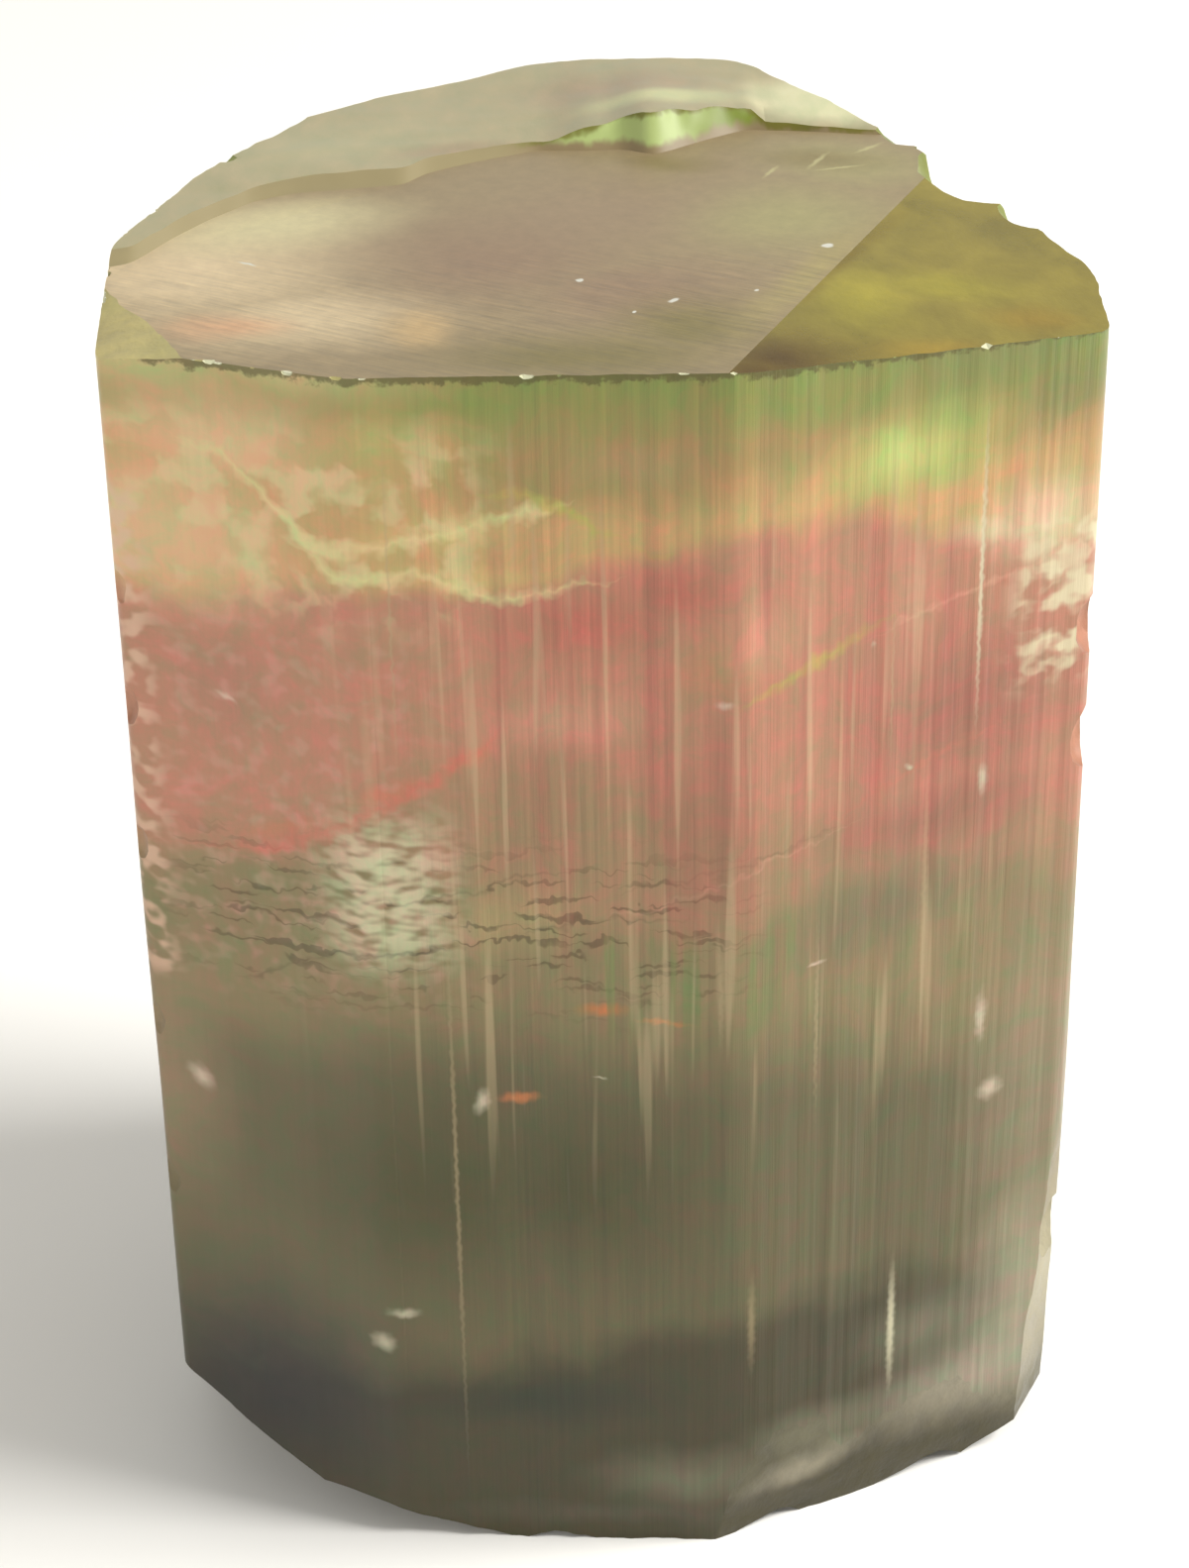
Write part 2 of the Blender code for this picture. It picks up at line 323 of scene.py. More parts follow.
def cut_broad_face(collection, face_material, ledge_material):
    """What lay above the broad top face, in front of the ledge, whose ragged face it leaves."""
    foot = [Vector((x, y)) * MM for x, y in LEDGE_FOOT]
    length = sum((b - a).length for a, b in zip(foot, foot[1:]))
    even = [place for place, _ in evenly_spaced(foot, int(length / FOOT_STEP), closed=False)]
    for _ in range(FOOT_ROUNDING):
        even[1:-1] = [(a + b + c) / 3 for a, b, c in zip(even, even[1:], even[2:])]
    ragged = []
    for place, beside in evenly_spaced(even, len(even), closed=False):
        shift = noise.noise(Vector((place.x * 900, place.y * 900, 5)))
        ragged.append(place + beside * shift * FOOT_RAGGED)
    corners = [Vector((foot[0].x, -14 * MM)), Vector((foot[-1].x, -14 * MM))]
    shape = bmesh.new()
    rim = [shape.verts.new((p.x, p.y, top_height(p.x))) for p in corners + ragged[::-1]]
    face = shape.faces.new(rim)
    for layer in range(LEDGE_LAYERS + 1):
        rise = LEDGE_LAYER if layer < LEDGE_LAYERS else 6 * MM
        new = bmesh.ops.extrude_face_region(shape, geom=[face])["geom"]
        raised = [item for item in new if isinstance(item, bmesh.types.BMVert)]
        if layer:
            shape.faces.remove(face)
        face = next(item for item in new if isinstance(item, bmesh.types.BMFace) and len(item.verts) == len(rim))
        for vert in raised:
            vert.co += Vector((0, ledge_lean(vert.co.x) * rise, rise))
            if layer < LEDGE_LAYERS:
                vert.co.y += FOOT_RAGGED * noise.noise(vert.co * 1500)
    cutter = new_object("cut_broad_face", shape, collection, face_material)
    cutter.data.materials.append(ledge_material)
    for polygon in cutter.data.polygons:
        polygon.material_index = 0 if polygon.normal.z < FLAT_FACE else 1


def block(width, depth, height, cell):
    """A block whose lower face is centred on the origin and has cells of this size."""
    shape = bmesh.new()
    bmesh.ops.create_grid(
        shape, x_segments=max(1, round(width / cell)), y_segments=max(1, round(depth / cell)), size=0.5
    )
    bmesh.ops.scale(shape, vec=(width, depth, 1), verts=shape.verts)
    raised = bmesh.ops.extrude_face_region(shape, geom=shape.faces[:])["geom"]
    lift = Vector((0, 0, height))
    bmesh.ops.translate(shape, vec=lift, verts=[v for v in raised if isinstance(v, bmesh.types.BMVert)])
    return shape


def cut_right_face(collection, material):
    """What lay above the face that falls away to the right."""
    along = (EDGE_BACK - EDGE_FRONT).normalized()
    middle = (EDGE_FRONT + EDGE_BACK) / 2
    edge = Vector((*middle, top_height(middle.x)))
    turned = Matrix.Rotation(math.atan2(along.y, along.x), 4, "Z")
    tilted = Matrix.Rotation(RIGHT_FACE_FALL, 4, "X")
    shape = block(50 * MM, 50 * MM, 50 * MM, 50 * MM)
    bmesh.ops.transform(shape, matrix=Matrix.Translation(edge) @ turned @ tilted, verts=shape.verts)
    new_object("cut_right_face", shape, collection, material)


def ledge_height(x, y):
    """The top of the ledge, which falls from its front to the back edge, with ripples."""
    for left, right in zip(LEDGE_RISES, LEDGE_RISES[1:]):
        if x / MM <= right[0]:
            break
    across = smooth((x / MM - left[0]) / (right[0] - left[0]))
    front = mix(left[1], right[1], across) * MM
    back = mix(left[2], right[2], across) * MM
    ripple = noise.noise(Vector((x * 260, y * 520, 3))) + 0.35 * noise.noise(Vector((x * 900, y * 1600, 8)))
    share = (y - LEDGE_FRONT_Y) / (LEDGE_BACK_Y - LEDGE_FRONT_Y)
    return top_height(x) + mix(front, back, share) + LEDGE_RIPPLE * ripple


def cut_ledge_top(collection, material):
    """What lay above the ledge, with a rippled lower face."""
    shape = block(24 * MM, 16 * MM, 10 * MM, LEDGE_CELL)
    bmesh.ops.translate(shape, vec=(0, 4 * MM, 0), verts=shape.verts)
    for vert in shape.verts:
        if vert.co.z < MM:
            vert.co.z = ledge_height(vert.co.x, vert.co.y)
        else:
            vert.co.z += TOP_HEIGHT
    new_object("cut_ledge_top", shape, collection, material)


def cut_break(name, point, facing, unevenness, size, collection, material):
    """A break with an uneven face: a block laid with its lower face on the break."""
    facing = Vector(facing).normalized()
    laid = Matrix.Translation(Vector(point) * MM) @ facing.to_track_quat("Z", "Y").to_matrix().to_4x4()
    shape = block(size * MM, size * MM, size * MM, BREAK_CELL)
    bmesh.ops.transform(shape, matrix=laid, verts=shape.verts)
    scale, depth = BREAK_GRAIN
    for vert in shape.verts:
        vert.co += facing * noise.noise(vert.co * BREAK_LUMPS) * unevenness * MM
        vert.co += facing * noise.noise(vert.co * scale) * depth
    new_object("cut_" + name, shape, collection, material)


def cut_ball(name, middle, radius, collection, material, detail=3):
    """A rounded chip: a lumpy ball."""
    shape = bmesh.new()
    bmesh.ops.create_icosphere(shape, subdivisions=detail, radius=radius)
    for vert in shape.verts:
        vert.co *= 1 + CHIP_LUMPS * noise.noise(vert.co / radius * 1.7 + middle * 900)
    bmesh.ops.translate(shape, vec=middle, verts=shape.verts)
    new_object(name, shape, collection, material)


def cut_all(crystal, cutters):
    """Takes the cutters from the crystal, whose new faces keep their cutter's material."""
    cut = crystal.modifiers.new("cuts", "BOOLEAN")
    cut.operation = "DIFFERENCE"
    cut.solver = "MANIFOLD"
    cut.operand_type = "COLLECTION"
    cut.collection = cutters
    cut.material_mode = "TRANSFER"
    bpy.context.view_layer.update()
    cut_mesh = bpy.data.meshes.new_from_object(crystal.evaluated_get(bpy.context.evaluated_depsgraph_get()))
    crystal.modifiers.clear()
    crystal.data = cut_mesh
    for cutter in list(cutters.objects):
        bpy.data.objects.remove(cutter)
    bpy.data.collections.remove(cutters)


def hold_inside(mesh, lowest, highest):
    """Keeps the fine grain inside the solid's box."""
    for vert in mesh.vertices:
        for axis in range(3):
            vert.co[axis] = min(highest[axis], max(lowest[axis], vert.co[axis]))


def fine_surface(mesh):
    """Smooth shading across the fine grain, with crisp edges where the surface turns."""
    mesh.shade_smooth()
    mesh.set_sharp_from_angle(angle=CRISP_ANGLE)


CRISP_ANGLE = math.radians(24)

# How far the solid was moved when it was stood on its origin
STAND_SHIFT = Vector((0.029, 0.403, 0)) * MM


def build_crystal(materials):
    """The crystal in one piece, standing where its solid stands."""
    parts = new_collection("crystal_parts")
    cutters = new_collection("crystal_cutters")
    crystal = build_prism(parts, materials)
    cut_broad_face(cutters, materials["top"], materials["riser"])
    cut_right_face(cutters, materials["right_top"])
    cut_ledge_top(cutters, materials["strip"])
    for name, (point, facing, unevenness, size) in BREAKS.items():
        cut_break(name, point, facing, unevenness, size, cutters, materials["break"])
    for number, (x, y, z, radius) in enumerate(CHIPS):
        cut_ball(f"cut_chip_{number}", Vector((x, y, z)) * MM, radius * MM, cutters, materials["break"])
    cut_rim(cutters, materials["break"], materials["glint"])
    cut_base_scars(cutters, materials["break"])
    cut_all(crystal, cutters)
    crystal.data.transform(Matrix.Translation(STAND_SHIFT))
    hold_inside(crystal.data, cad_low, cad_high)
    fine_surface(crystal.data)
    return crystal


# Fine chips along the rim of the top: how many, and their radius in mm
RIM_CHIPS = 190
RIM_CHIP_RADIUS = (0.06, 0.24)
PAINTED_GLINT_EVERY = 2  # one chip in this many is painted pale as a glint


def rim_height(place):
    """The height of the top faces at this place, which is in metres."""
    across = (EDGE_BACK - EDGE_FRONT).normalized()
    beyond = across.cross(place - EDGE_FRONT)
    fall = math.tan(RIGHT_FACE_FALL) * max(0.0, -beyond)
    return top_height(place.x) - fall


def cut_rim(collection, material, painted_glint_material):
    """Fine chips along the rim, in front of the ledge. Some of them are painted pale as glints."""
    draw = random.Random(23)
    spots = [place for place, _ in evenly_spaced(rounded_section(), 900) if place.y < 0]
    for number in range(RIM_CHIPS):
        place = draw.choice(spots)
        radius = draw.uniform(*RIM_CHIP_RADIUS) * MM
        outward = place.normalized() * radius * draw.uniform(0.2, 0.8)
        middle = Vector((*(place + outward), rim_height(place) + radius * draw.uniform(0.2, 0.75)))
        finish = painted_glint_material if number % PAINTED_GLINT_EVERY == 0 else material
        cut_ball(f"cut_rim_{number}", middle, radius, collection, finish, detail=1)


SCARS = 13
SCAR_RADIUS = (1.6, 3.0)
SCAR_DEPTH = (0.15, 0.45)
SCAR_INSET = 0.92


def cut_base_scars(collection, material):
    """Shallow scars round the edge of the base."""
    draw = random.Random(11)
    spots = evenly_spaced(rounded_section(), SCARS)
    for number, (place, _) in enumerate(spots):
        radius = draw.uniform(*SCAR_RADIUS) * MM
        depth = draw.uniform(*SCAR_DEPTH) * MM
        middle = Vector((*(place * SCAR_INSET), depth - radius))
        cut_ball(f"cut_scar_{number}", middle, radius, collection, material, detail=4)


# ---------------------------------------------------------------- nodes


def linear(colour):
    """A colour given as it looks, 0 to 255, as the linear values that a shader takes."""
    parts = [part / 255 for part in colour]
    return (*[p / 12.92 if p <= 0.04045 else ((p + 0.055) / 1.055) ** 2.4 for p in parts], 1.0)


def point_at(points, place):
    """The second value at this place, from points in order of their first value."""
    before, after = points[0], points[-1]
    for point in points:
        if point[0] <= place:
            before = point
    for point in reversed(points):
        if point[0] >= place:
            after = point
    if after[0] <= before[0]:
        return before[1]
    return mix(before[1], after[1], (place - before[0]) / (after[0] - before[0]))


class Nodes:
    """The nodes of one material. Each method adds a node and gives back its output."""

    def __init__(self, name):
        self.material = bpy.data.materials.new(name)
        self.material.use_nodes = True
        self.tree = self.material.node_tree
        self.shader = self.tree.nodes["Principled BSDF"]

    def join(self, value, socket):
        if isinstance(value, bpy.types.NodeSocket):
            self.tree.links.new(value, socket)
        else:
            socket.default_value = value

    def add(self, kind, inputs, output=0, **settings):
        node = self.tree.nodes.new("ShaderNode" + kind)
        for setting, value in settings.items():
            setattr(node, setting, value)
        for name, value in inputs.items():
            self.join(value, node.inputs[name])
        return node.outputs[output]

    def math(self, operation, *values, clamp=False):
        return self.add("Math", dict(enumerate(values)), operation=operation, use_clamp=clamp)

    def vector(self, operation, *values):
        output = "Value" if operation == "LENGTH" else "Vector"
        return self.add("VectorMath", dict(enumerate(values)), output, operation=operation)

    def scaled(self, vector, factor):
        return self.add("VectorMath", {"Vector": vector, "Scale": factor}, operation="SCALE")

    def place(self):
        """The place on the piece, in mm."""
        where = self.add("TexCoord", {}, "Object")
        return self.scaled(where, 1 / MM)

    def parts(self, vector):
        node = self.tree.nodes.new("ShaderNodeSeparateXYZ")
        self.join(vector, node.inputs[0])
        return node.outputs[0], node.outputs[1], node.outputs[2]

    def combined(self, x, y, z):
        return self.add("CombineXYZ", {0: x, 1: y, 2: z})

    def noise(self, vector, scale, detail=2, output="Fac", rough=0.5, dimensions="2D"):
        inputs = {"Vector": vector, "Scale": scale, "Detail": detail, "Roughness": rough}
        return self.add("TexNoise", inputs, output, noise_dimensions=dimensions)

    def centred_noise(self, vector, scale, detail=2, rough=0.5, dimensions="2D"):
        """Noise about 0."""
        return self.math("SUBTRACT", self.noise(vector, scale, detail, "Fac", rough, dimensions), 0.5)

    def fade(self, value, start, end, low=0.0, high=1.0):
        """low until value reaches start, high from end on, and an even change between them."""
        inputs = {"Value": value, "From Min": start, "From Max": end, "To Min": low, "To Max": high}
        return self.add("MapRange", inputs, interpolation_type="SMOOTHSTEP")

    def ramp(self, value, stops):
        """A colour and an alpha at places along the value, which runs from the first stop to the last."""
        first, last = stops[0][0], stops[-1][0]
        share = self.add("MapRange", {"Value": value, "From Min": first, "From Max": last})
        node = self.tree.nodes.new("ShaderNodeValToRGB")
        self.join(share, node.inputs[0])
        elements = node.color_ramp.elements
        while len(elements) < len(stops):
            elements.new(0.5)
        for element, (at, colour) in zip(elements, stops):
            element.position = (at - first) / (last - first)
            element.color = colour
        return node.outputs[0], node.outputs[1]

    def heights(self, value, courses):
        """The heights of three courses at this value, each given as points of a value and a height."""
        places = sorted({at for course in courses for at, _ in course})
        stops = [(at, (*[point_at(course, at) / HEIGHT_SPAN for course in courses], 1)) for at in places]
        return self.parts(self.scaled(self.ramp(value, stops)[0], HEIGHT_SPAN))

    def blend(self, share, first, second, mode="MIX"):
        node = self.tree.nodes.new("ShaderNodeMix")
        node.data_type = "RGBA"
        node.blend_type = mode
        self.join(share, node.inputs["Factor"])
        self.join(first, node.inputs[6])
        self.join(second, node.inputs[7])
        return node.outputs[2]

    def push(self, vector, scale, detail=1):
        """A noise vector about 0, to push a place about with."""
        return self.vector("SUBTRACT", self.noise(vector, scale, detail, "Color"), (0.5, 0.5, 0.5))

    def pushed(self, vector, *pushes):
        """The vector moved by each push, given as the push and how far it goes in mm."""
        for push, amount in pushes:
            scaled = self.scaled(push, amount)
            vector = self.vector("ADD", vector, scaled)
        return vector

    def strands(self, vector, first, second):
        """1 on two thin strands through their points, each a place along, a height and a half width."""
        x, y, _ = self.parts(vector)
        stops = []
        for at in sorted({point[0] for point in first + second}):
            values = []
            for points in (first, second):
                values.append(point_at([point[:2] for point in points], at) / HEIGHT_SPAN)
                values.append(point_at([point[::2] for point in points], at))
            stops.append((at, values))
        colour, last_half = self.ramp(x, stops)
        first_height, first_half, last_height = self.parts(colour)
        level = self.math("DIVIDE", y, HEIGHT_SPAN)
        inside = None
        for height, half in ((first_height, first_half), (last_height, last_half)):
            aside = self.math("ABSOLUTE", self.math("SUBTRACT", level, height))
            depth = self.math("MULTIPLY_ADD", aside, -HEIGHT_SPAN, half)
            inside = depth if inside is None else self.math("MAXIMUM", inside, depth)
        return self.math("MULTIPLY", inside, STRAND_EDGE, clamp=True)

    def marks(self, vector, spots, soft, strength):
        """The strength inside the spots, fading to 0 at their edges.

        A spot has a middle, two half lengths and a turn.
        """
        most = None
        for x, y, length, width, turn in spots:
            node = self.tree.nodes.new("ShaderNodeTexGradient")
            node.gradient_type = "SPHERICAL"
            node.texture_mapping.vector_type = "TEXTURE"
            node.texture_mapping.translation = (x, y, 0)
            node.texture_mapping.rotation = (0, 0, math.radians(turn))
            node.texture_mapping.scale = (length, width, 1)
            self.join(vector, node.inputs["Vector"])
            inside = node.outputs["Fac"]
            most = inside if most is None else self.math("MAXIMUM", most, inside)
        return self.fade(most, 0.0, soft, 0.0, strength)


# ---------------------------------------------------------------- the stone

IOR = 1.62
CLARITY = 0.5
SPECULAR = 0.22
TINT = (0.82, 0.70, 0.46, 1)
DENSITY = 300.0

# How the studio's light turns a base colour into the colour seen: what it gives, and what the gloss adds
SIDE_LIGHT = (0.74, 0.028)
TOP_LIGHT = (0.70, 0.06)
RIGHT_TOP_LIGHT = (0.75, 0.05)
RIGHT_TOP_SPECULAR = 0.05


def seen(colour, light):
    """The base colour that looks like this colour, given as 0 to 255, in that light."""
    gain, gloss = light
    return (*[min(1.0, max(0.003, (part - gloss) / gain)) for part in linear(colour)[:3]], 1.0)


def make_clear(nodes, specular=SPECULAR):
    """The stone is see-through: plain transmission, IOR and absorption values."""
    shader = nodes.shader
    shader.inputs["IOR"].default_value = IOR
    shader.inputs["Specular IOR Level"].default_value = specular
    shader.inputs["Transmission Weight"].default_value = CLARITY
    volume = nodes.tree.nodes.new("ShaderNodeVolumeAbsorption")
    volume.inputs["Color"].default_value = TINT
    volume.inputs["Density"].default_value = DENSITY
    output = nodes.tree.nodes["Material Output"]
    nodes.tree.links.new(volume.outputs[0], output.inputs["Volume"])


def add_patches(nodes, colour, vector, patches, light):
    """Lays the patches over the colour. Each has a colour, a strength, a softness and its spots."""
    for name, paint, strength, soft, spots in patches:
        share = nodes.marks(vector, spots, soft, strength)
        colour = nodes.blend(share, colour, seen(paint, light))
    return colour


# The zones of the side, from the base up: the lower boundary as (around, height) points in mm, the width of
# the change in mm, and the colour. The ends of a boundary meet at the middle of the back.
ZONES = (
    ("base", ((-33, -9), (33, -9)), 1.0, (78, 73, 52)),
    ("olive", ((-33, 5), (-11, 3.6), (-8, 4.4), (-3, 5.4), (0, 6.0), (3, 6.4), (7, 6.6), (11, 5.8), (33, 5)), 1.6, (108, 101, 72)),
    ("middle", ((-33, 13), (-11, 13), (-9, 14.0), (-3, 14.6), (3, 14.0), (8, 13), (11, 12), (33, 13)), 3.4, (143, 128, 92)),
    ("rose_foot", ((-33, 17), (-10, 17.8), (-6, 19.2), (-3, 18.2), (0, 17.0), (4, 17.4), (8, 17.6), (11, 16.4), (33, 17)), 1.6, (167, 134, 102)),
    (
        "rose",
        ((-33, 20), (-10, 18.8), (-8, 19), (-6, 20), (-4, 21.2), (-2, 21.6), (1, 20.6), (5, 19.4), (9, 18.6), (11, 18), (33, 20)),
        2.2,
        (190, 136, 110),
    ),
    (
        "peach",
        ((-33, 25.6), (-10, 24.4), (-8, 25.2), (-6.4, 25.6), (-4, 25.4), (-2, 25.2), (0, 25.8), (3, 26.8), (6, 26.8), (8, 25.6), (11, 25), (33, 25.6)),
        0.9,
        (201, 165, 112),
    ),
    ("tan", ((-33, 28), (-10, 28.8), (-7, 28.4), (-3, 27.6), (0, 27.4), (4, 27.9), (6, 28.2), (9, 27.6), (11, 27.4), (33, 28)), 1.4, (165, 143, 92)),
    ("green_cap", ((-33, 29), (-10, 29.9), (-7, 29.5), (-3, 29.3), (0, 29.2), (4, 29.2), (7, 28.6), (11, 28.4), (33, 29)), 1.3, (140, 146, 80)),
)
HEIGHT_SPAN = 40.0

# What lies in the stone, and at the upper left a painted glow of light through it: a colour, how strongly
# it shows, how soft it is, and its spots as around, height, half length, half height in mm, and turn in degrees.
GLOWS = (
    # Paler stone at the upper left, with a painted glow of the light through it
    ("pale_left_painted_light", (240, 190, 144), 0.9, 1.0, ((-9.4, 26.2, 3.8, 2.6, -8), (-8.2, 28.5, 3.6, 1.7, 0))),
    ("straw", (198, 180, 116), 0.8, 1.0, ((-4.8, 28.7, 2.8, 1.3, 0),)),
    ("swoosh", (206, 188, 122), 0.7, 0.9, ((-3.9, 26.8, 2.8, 0.6, 12), (-3.3, 25.8, 2.8, 0.5, -4))),
    ("tan_cap", (176, 148, 104), 0.7, 1.0, ((0.8, 28.3, 2.4, 0.8, 0),)),
    ("tan_heart", (180, 156, 112), 0.8, 1.0, ((-2.4, 17.5, 2.6, 1.4, 6),)),
    ("veil", (176, 148, 96), 0.45, 1.0, ((2.8, 23.8, 2.0, 1.3, 20),)),
    ("rose_heart", (190, 112, 95), 0.85, 1.0, ((-0.6, 24.7, 3.0, 1.3, 6), (1.6, 25.4, 1.6, 1.1, 0))),
    ("rose_glow", (216, 156, 130), 0.7, 1.0, ((3.4, 24.2, 1.4, 1.3, 0), (-1.0, 22.4, 3.0, 1.0, 6))),
    ("rose_left", (176, 126, 106), 0.5, 1.0, ((-8.4, 22.6, 2.0, 2.0, 0),)),
    ("ember", (204, 128, 100), 0.75, 1.0, ((-5.0, 20.6, 1.4, 0.4, 22), (-7.4, 19.4, 1.5, 0.3, 18), (-3.4, 21.6, 1.2, 0.35, 30))),
    ("rose_right", (160, 102, 88), 0.75, 1.0, ((8.8, 21.4, 4.0, 3.8, 0), (8.2, 18.9, 4.2, 1.6, 0))),
    # Painted glow of the light through the stone at the upper left, over the green cap
    ("cap_left_painted_glow", (206, 192, 134), 0.85, 1.0, ((-10.2, 30.0, 5.2, 1.2, 0), (-6.8, 30.2, 4.4, 1.0, 0))),
    ("cap_right", (130, 134, 82), 0.7, 1.0, ((9.4, 29.7, 3.8, 1.5, 0), (10.8, 28.4, 2.4, 1.8, 0))),
    ("lime", (176, 186, 104), 0.95, 0.9, ((7.3, 27.75, 2.9, 1.5, 6),)),
    ("lime_heart", (200, 210, 126), 0.8, 1.0, ((6.9, 27.7, 1.5, 0.9, 10),)),
    ("grey_right", (126, 114, 88), 0.75, 1.0, ((6.8, 16.9, 4.2, 1.6, 8),)),
    ("pale_right", (240, 208, 168), 0.85, 1.0, ((10.4, 25.5, 2.2, 1.5, 0), (9.6, 25.4, 1.8, 0.7, -8))),
    ("dark_olive", (80, 78, 46), 0.9, 1.0, ((-4.4, 10.2, 5.4, 4.6, 0), (-1.0, 10.4, 4.8, 3.8, 0))),
    ("haze_right", (166, 151, 122), 0.85, 1.0, ((12.0, 10.4, 3.8, 8.6, 0),)),
    ("frosted_edge", (190, 182, 152), 0.9, 1.0, ((11.6, 4.6, 3.0, 4.8, 0),)),
    ("haze_left", (156, 134, 104), 0.85, 1.0, ((-10.6, 12.4, 2.3, 5.4, 0),)),
    ("deep_blue", (56, 62, 46), 0.8, 1.0, ((-2.0, 4.2, 4.6, 1.2, 3),)),
    ("brown_corner", (50, 42, 20), 0.9, 1.0, ((-8.6, 3.8, 5.0, 4.8, 0),)),
    ("bevel_band", (172, 163, 140), 0.85, 1.0, ((9.8, 2.7, 4.4, 1.8, 8), (5.0, 1.5, 2.6, 0.6, 10))),
    ("grey_base", (128, 124, 100), 0.75, 1.0, ((1.8, 1.9, 3.4, 1.2, 0), (5.2, 2.4, 3.0, 1.3, 0), (8.4, 4.7, 2.6, 1.6, 0))),
    ("base_line", (100, 94, 76), 0.5, 1.0, ((0.5, 0.8, 8.0, 0.5, 0),)),
)

# Thin strands in the stone: a colour, how strongly it shows, and two courses of points as around, height and
# half width in mm. Where the half width is 0 there is no strand.
STRAND_EDGE = 4.0  # how sharp a strand's edge is, per mm
STRANDS = (
    (
        "cream",
        (232, 212, 154),
        0.85,
        (
            (-9.3, 28.4, 0.0),
            (-8.2, 28.1, 0.24),
            (-7.6, 27.5, 0.2),
            (-7.0, 26.9, 0.32),
            (-6.4, 26.3, 0.36),
            (-5.4, 26.35, 0.2),
            (-4.0, 26.65, 0.22),
            (-2.6, 27.05, 0.18),
            (-1.6, 27.3, 0.3),
            (-0.6, 27.5, 0.0),
        ),
        (
            (-7.1, 26.5, 0.0),
            (-6.2, 25.9, 0.24),
            (-5.4, 25.6, 0.26),
            (-4.4, 25.9, 0.14),
            (-3.6, 25.6, 0.24),
            (-2.4, 25.25, 0.22),
            (-0.8, 25.6, 0.16),
            (0.6, 25.8, 0.0),
        ),
    ),
    (
        "leaf",
        (184, 180, 92),
        0.7,
        (
            (-3.4, 27.6, 0.0),
            (-2.2, 27.7, 0.16),
            (-1.2, 27.4, 0.3),
            (-0.3, 26.9, 0.2),
            (0.4, 26.6, 0.04),
            (1.0, 26.35, 0.14),
            (1.8, 26.2, 0.0),
        ),
        ((2.6, 22.6, 0.0), (3.8, 23.0, 0.2), (5.2, 23.5, 0.24), (6.4, 23.95, 0.12), (7.2, 24.1, 0.0)),
    ),
    (
        "ember",
        (208, 118, 100),
        0.6,
        (
            (-9.9, 18.5, 0.0),
            (-8.0, 18.8, 0.26),
            (-6.5, 19.5, 0.32),
            (-5.0, 20.4, 0.26),
            (-3.6, 21.4, 0.32),
            (-2.2, 22.4, 0.0),
        ),
        ((4.4, 19.2, 0.0), (6.4, 19.8, 0.14), (8.6, 20.6, 0.14), (10.6, 21.0, 0.0)),
    ),
    (
        "blush",
        (226, 178, 148),
        0.7,
        ((6.0, 23.6, 0.0), (7.2, 23.9, 0.1), (9.2, 24.3, 0.14), (10.8, 24.7, 0.1)),
        ((-1.0, 17.4, 0.0), (0.6, 17.7, 0.07), (2.0, 18.2, 0.09), (3.6, 18.8, 0.1), (7.2, 19.5, 0.0)),
    ),
    (
        "crack",
        (74, 62, 44),
        0.85,
        (
            (-8.8, 15.3, 0.0),
            (-8.1, 15.5, 0.12),
            (-7.2, 16.1, 0.05),
            (-6.2, 16.5, 0.12),
            (-4.6, 16.7, 0.1),
            (-3.0, 16.9, 0.0),
            (-2.3, 17.0, 0.0),
            (-1.6, 17.3, 0.12),
            (-0.8, 17.5, 0.06),
            (1.0, 17.55, 0.08),
            (2.2, 17.6, 0.0),
        ),
        (
            (-5.6, 17.85, 0.0),
            (-4.4, 18.0, 0.1),
            (-3.4, 18.2, 0.07),
            (-2.0, 18.65, 0.09),
            (-0.6, 18.8, 0.0),
            (-0.2, 18.1, 0.0),
            (1.0, 18.4, 0.08),
            (2.4, 18.75, 0.05),
            (4.0, 19.0, 0.08),
            (6.4, 19.5, 0.0),
        ),
    ),
)

# Chips and flecks, in the same form as the glows
FLECKS = (
    (
        "pale_fleck",
        (214, 200, 174),
        0.75,
        1.0,
        (
            (-3.35, 12.7, 0.24, 0.46, -20),
            (2.65, 22.85, 0.3, 0.14, 10),
            (5.1, 15.9, 0.34, 0.09, 0),
            (6.4, 23.5, 0.1, 0.14, 0),
            (-5.8, 5.8, 0.4, 0.4, 0),
            (-5.3, 6.7, 0.5, 0.2, 0),
            (9.7, 11.1, 0.4, 0.36, 30),
            (9.4, 13.2, 0.2, 0.9, 0),
            (9.2, 19.5, 0.18, 0.5, 0),
            (7.4, 20.3, 0.14, 0.14, 0),
            (-0.4, 13.4, 0.24, 0.06, -14),
            (-8.5, 22.4, 0.34, 0.12, -40),
            (-9.6, 12.3, 0.3, 0.5, 20),
        ),
    ),
    ("rust", (194, 126, 76), 0.85, 0.9, ((-0.3, 15.2, 0.9, 0.24, 0), (1.2, 14.9, 0.9, 0.12, -6), (-2.4, 12.8, 0.7, 0.18, 4))),
)

# Long upright lines on the striae, in the same form
LINES = (
    ("bright_line", (246, 220, 186), 0.8, 1.0, ((9.0, 24.6, 0.07, 4.6, 0), (7.4, 5.0, 0.16, 2.4, 0))),
    (
        "pale_line",
        (190, 170, 130),
        0.45,
        1.0,
        (
            (-4.0, 10.6, 0.08, 9.8, 0),
            (-4.9, 25.0, 0.05, 5.4, 0),
            (-2.2, 27.4, 0.14, 2.6, 0),
            (3.4, 6.4, 0.16, 1.8, 0),
            (7.9, 16.6, 0.12, 5.0, 0),
            (6.9, 22.6, 0.06, 2.8, 0),
            (5.1, 14.4, 0.08, 3.6, 0),
            (2.6, 15.6, 0.10, 1.9, 0),
            (10.1, 26.4, 0.05, 2.8, 0),
        ),
    ),
)


# The dark line along the top edge of the front: its depth and how much that varies, in mm, and its strength
RIM_DEPTH = 0.14
RIM_UNEVEN = 0.5
RIM_SHARE = 0.75
RIM_PAINT = (92, 84, 44)


